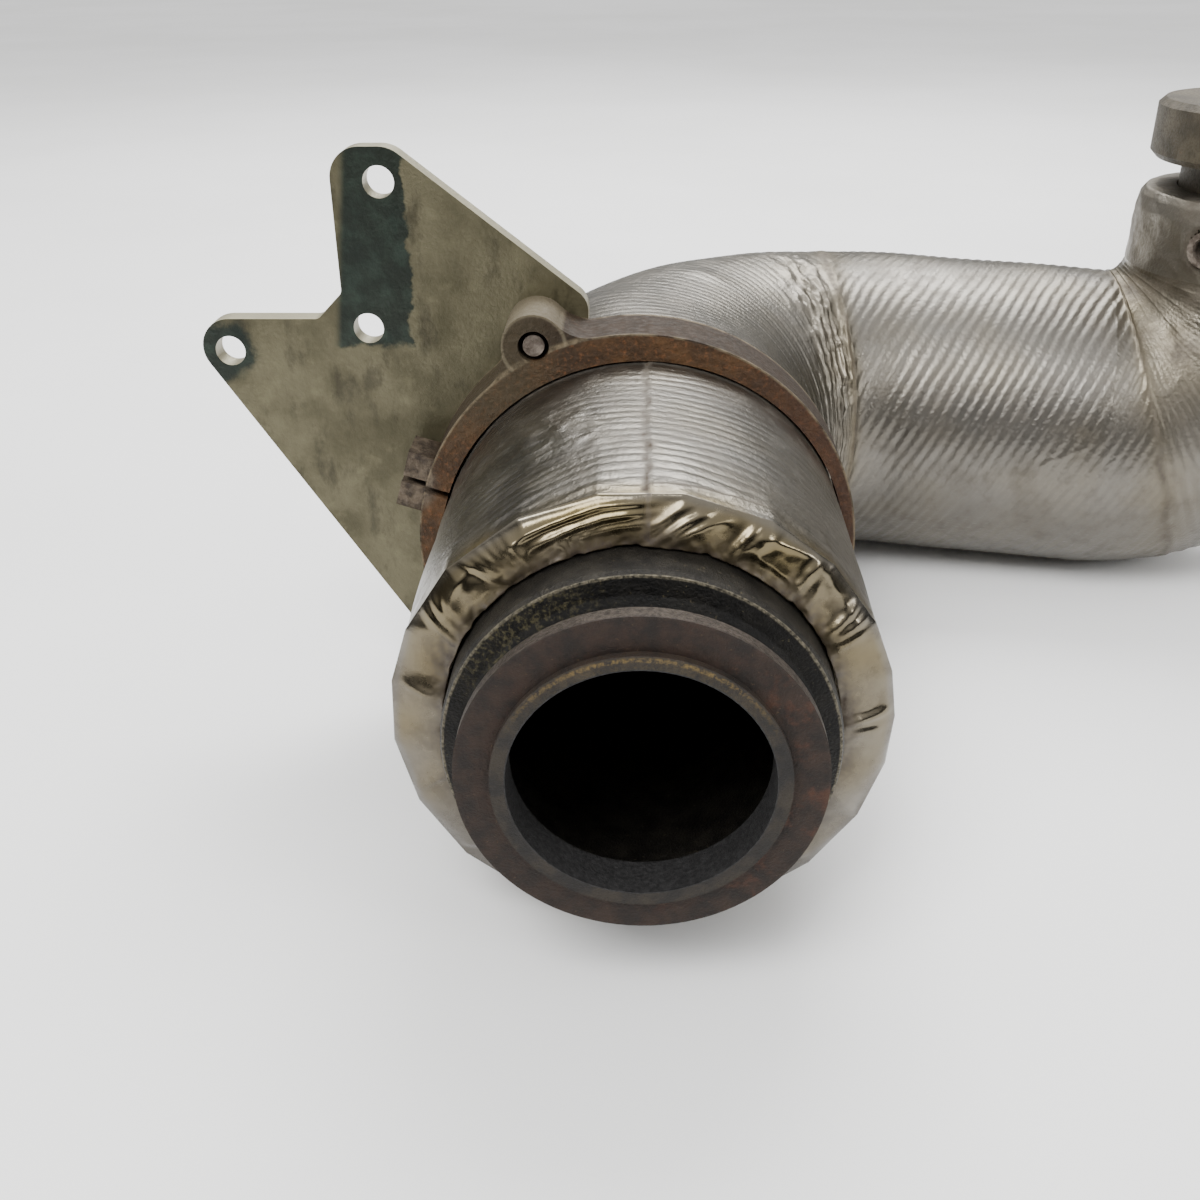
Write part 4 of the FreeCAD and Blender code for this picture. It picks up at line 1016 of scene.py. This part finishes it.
class OutletCap(bpy.types.Operator):
    """The plainer, rougher foil on the outlet neck, open round the sensor boss."""

    bl_idname = "exhaust.outlet_cap"
    bl_label = "Outlet foil"

    def execute(self, context):
        turns = turns_of(NECK_COLUMNS)
        foot = HINGE[2]
        profile = np.array(
            [
                (foot, OUTLET_SKIN),
                (foot + 8, 51.0),
                (CAP_TOP - 9, 50.9),
                (CAP_TOP - 4, 49.8),
                (CAP_TOP - 1.2, 47.8),
                (CAP_TOP - 0.4, 44.0),
                (CAP_TOP - 0.4, 36.2),
            ]
        )
        steps = np.concatenate([[0], np.cumsum(np.hypot(*np.diff(profile, axis=0).T))])
        run = np.linspace(0, steps[-1], NECK_ROWS)
        z, radius = np.interp(run, steps, profile[:, 0]), np.interp(run, steps, profile[:, 1])
        away = np.cross(ELBOW_SIDE, UP) * -1
        centre = np.stack([0 * z + OUTLET[0], 0 * z + OUTLET[1], z], -1)
        skin = Skin(centre, away, ELBOW_SIDE, radius, radius, run)
        flat = skin.points(turns)
        gap = flat - (OUTLET * [1, 1, 0] + UP * BOSS_HEIGHT)
        reach = gap @ np.array(BOSS_OUT)
        off_axis = np.linalg.norm(gap - reach[..., None] * np.array(BOSS_OUT), axis=-1)
        near_boss = np.where(reach > 0, off_axis, 99.0)
        height = 0.35 * noise(flat, 28, 81) + 0.25 * crumple(flat, 14, 82)
        height = height + 0.9 * bump(near_boss, 9.5, 2.2)
        height = np.clip(height, -0.7, 0.9) * np.clip(run / 6, 0, 1)[:, None]
        soil_and_shade = 0.2 + 0.3 * noise(flat, 14, 83) + 0.5 * bump(near_boss, 8, 2.5)
        piece = sheet(
            "lagging_foil_neck",
            skin.points(turns, height),
            "outlet_foil_cap",
            {"soil_and_shade": soil_and_shade, "tint": 0.2},
            foil_of(context, "rough_stainless_foil", 0.38),
        )
        without_points(piece.data, {int(i) for i in np.nonzero(near_boss.ravel() < BOSS_HOLE)[0]})
        return {"FINISHED"}


class SteelFinishes(bpy.types.Operator):
    """Rust, soot and scuffs on the steel pipe, its flange, collar and boss."""

    bl_idname = "exhaust.steel_finishes"
    bl_label = "Steel pipe finishes"

    def execute(self, context):
        paint(["inlet_flange"], flange_steel())
        # Sooted: nearly black and quite rough
        sooted = ("#0b0a0a", "#1d1a19", "#33261f", 0.36, 9, 0.8, 0.0003)
        paint(["gas_tube", "outlet_elbow"], rusted_steel("sooted_steel", *sooted))
        # Scaled by heat: an even olive brown with a faint sheen
        scaled = ("#3a3428", "#544d3e", "#5f4c35", 0.34, 14, 0.5, 0.00012)
        paint(["outlet_collar"], rusted_steel("scaled_steel", *scaled))
        # Worn by tools: paler and brighter, with rust in the hollows
        worn = ("#4d433a", "#80766c", "#6d4e36", 0.32, 4, 0.45, 0.00015)
        paint(["sensor_boss", "clamp_bolt"], rusted_steel("worn_steel", *worn))
        return {"FINISHED"}


class ClampFinishes(bpy.types.Operator):
    """Rust on the clamp ring and aged zinc on the bracket plate."""

    bl_idname = "exhaust.clamp_finishes"
    bl_label = "Clamp and bracket finishes"

    def execute(self, context):
        paint(["clamp_ring"], ring_steel())
        paint(["bracket_plate"], zinc_plate())
        return {"FINISHED"}


class MatFinish(bpy.types.Operator):
    """Fibre on the mats under the foil."""

    bl_idname = "exhaust.mat_finish"
    bl_label = "Fibre mats"

    def execute(self, context):
        paint(["inlet_mat", "bend_mat", "middle_mat", "outlet_mat"], needled_fibre())
        return {"FINISHED"}


class Stage(bpy.types.Operator):
    """Pale floor, soft lights and the camera."""

    bl_idname = "exhaust.stage"
    bl_label = "Floor, lights and camera"

    def execute(self, context):
        stage = context.scene.exhaust_stage
        scene = context.scene
        low = CAD_BOX[0][2] - FLOOR_GAP
        corners = [(x, y, low) for x, y in FLOOR_CORNERS]
        floor = flat_piece("floor", corners, matt_paper(tuple(stage.floor)))
        ends = ((CARD_LEFT, low), (CARD_RIGHT, low), (CARD_RIGHT, CARD_TOP), (CARD_LEFT, CARD_TOP))
        flag = flat_piece("dark_card", [(x, CARD_Y, z) for x, z in ends], black_felt())
        flag.visible_camera = False
        for name, spot, aim, size, power in LAMPS:
            light = bpy.data.lights.new(name, "AREA")
            light.size = size
            light.energy = power
            lamp = bpy.data.objects.new(name, light)
            scene.collection.objects.link(lamp)
            lamp.location = spot
            lamp.rotation_euler = (Vector(aim) - Vector(spot)).to_track_quat("-Z", "Y").to_euler()
        world = bpy.data.worlds.new("studio")
        scene.world = world
        world.use_nodes = True
        sky = world.node_tree
        sky.nodes.clear()
        place = add(sky, "ShaderNodeTexCoord").outputs["Generated"]
        ray = add(sky, "ShaderNodeSeparateXYZ", {0: place})
        band = span(sky, ray.outputs["Z"], 0.05, 0.75)
        tone = blend(sky, band, "#454341", "#ffffff")
        glow = add(sky, "ShaderNodeBackground", {"Color": tone, "Strength": 1.35})
        add(sky, "ShaderNodeOutputWorld", {"Surface": glow.outputs[0]})
        yaw, pitch, roll = (math.radians(v) for v in CAMERA_TURN)
        ahead = Vector(
            (math.sin(yaw) * math.cos(pitch), math.cos(yaw) * math.cos(pitch), -math.sin(pitch))
        )
        right = Vector((math.cos(yaw), -math.sin(yaw), 0))
        down = ahead.cross(right)
        side = right * math.cos(roll) + down * math.sin(roll)
        below = down * math.cos(roll) - right * math.sin(roll)
        camera = bpy.data.objects.new("camera", bpy.data.cameras.new("camera"))
        camera.data.lens = stage.focal
        camera.data.sensor_width = 36
        camera.data.clip_start = 0.01
        turned = Matrix((side, -below, -ahead)).transposed().to_4x4()
        camera.matrix_world = Matrix.Translation(CAMERA_SPOT) @ turned
        scene.collection.objects.link(camera)
        scene.camera = camera
        return {"FINISHED"}


PIECES = (InletFoil, BendFoil, MiddleFoil, ElbowFoil, InletCap, OutletCap)
PIECES += (SteelFinishes, ClampFinishes, MatFinish, Stage)


class ExhaustPanel(bpy.types.Panel):
    """The pieces of the exhaust pipe."""

    bl_idname = "VIEW3D_PT_exhaust"
    bl_label = "Exhaust pipe"
    bl_space_type = "VIEW_3D"
    bl_region_type = "UI"
    bl_category = "Exhaust"

    def draw(self, context):
        for settings in (context.scene.exhaust_foil, context.scene.exhaust_stage):
            for name in settings.__annotations__:
                self.layout.prop(settings, name)
        for operator in PIECES:
            self.layout.operator(operator.bl_idname)


CLASSES = (FoilSettings, StageSettings, *PIECES, ExhaustPanel)


def register():
    """Adds the settings, the operators and the panel."""
    for kind in CLASSES:
        bpy.utils.register_class(kind)
    bpy.types.Scene.exhaust_foil = bpy.props.PointerProperty(type=FoilSettings)
    bpy.types.Scene.exhaust_stage = bpy.props.PointerProperty(type=StageSettings)


def unregister():
    """Takes them away again, last first."""
    del bpy.types.Scene.exhaust_stage
    del bpy.types.Scene.exhaust_foil
    for kind in reversed(CLASSES):
        bpy.utils.unregister_class(kind)


def main():
    """Makes every piece by its operator."""
    register()
    for operator in PIECES:
        group, name = operator.bl_idname.split(".")
        getattr(getattr(bpy.ops, group), name)()


if __name__ == "__main__":
    main()
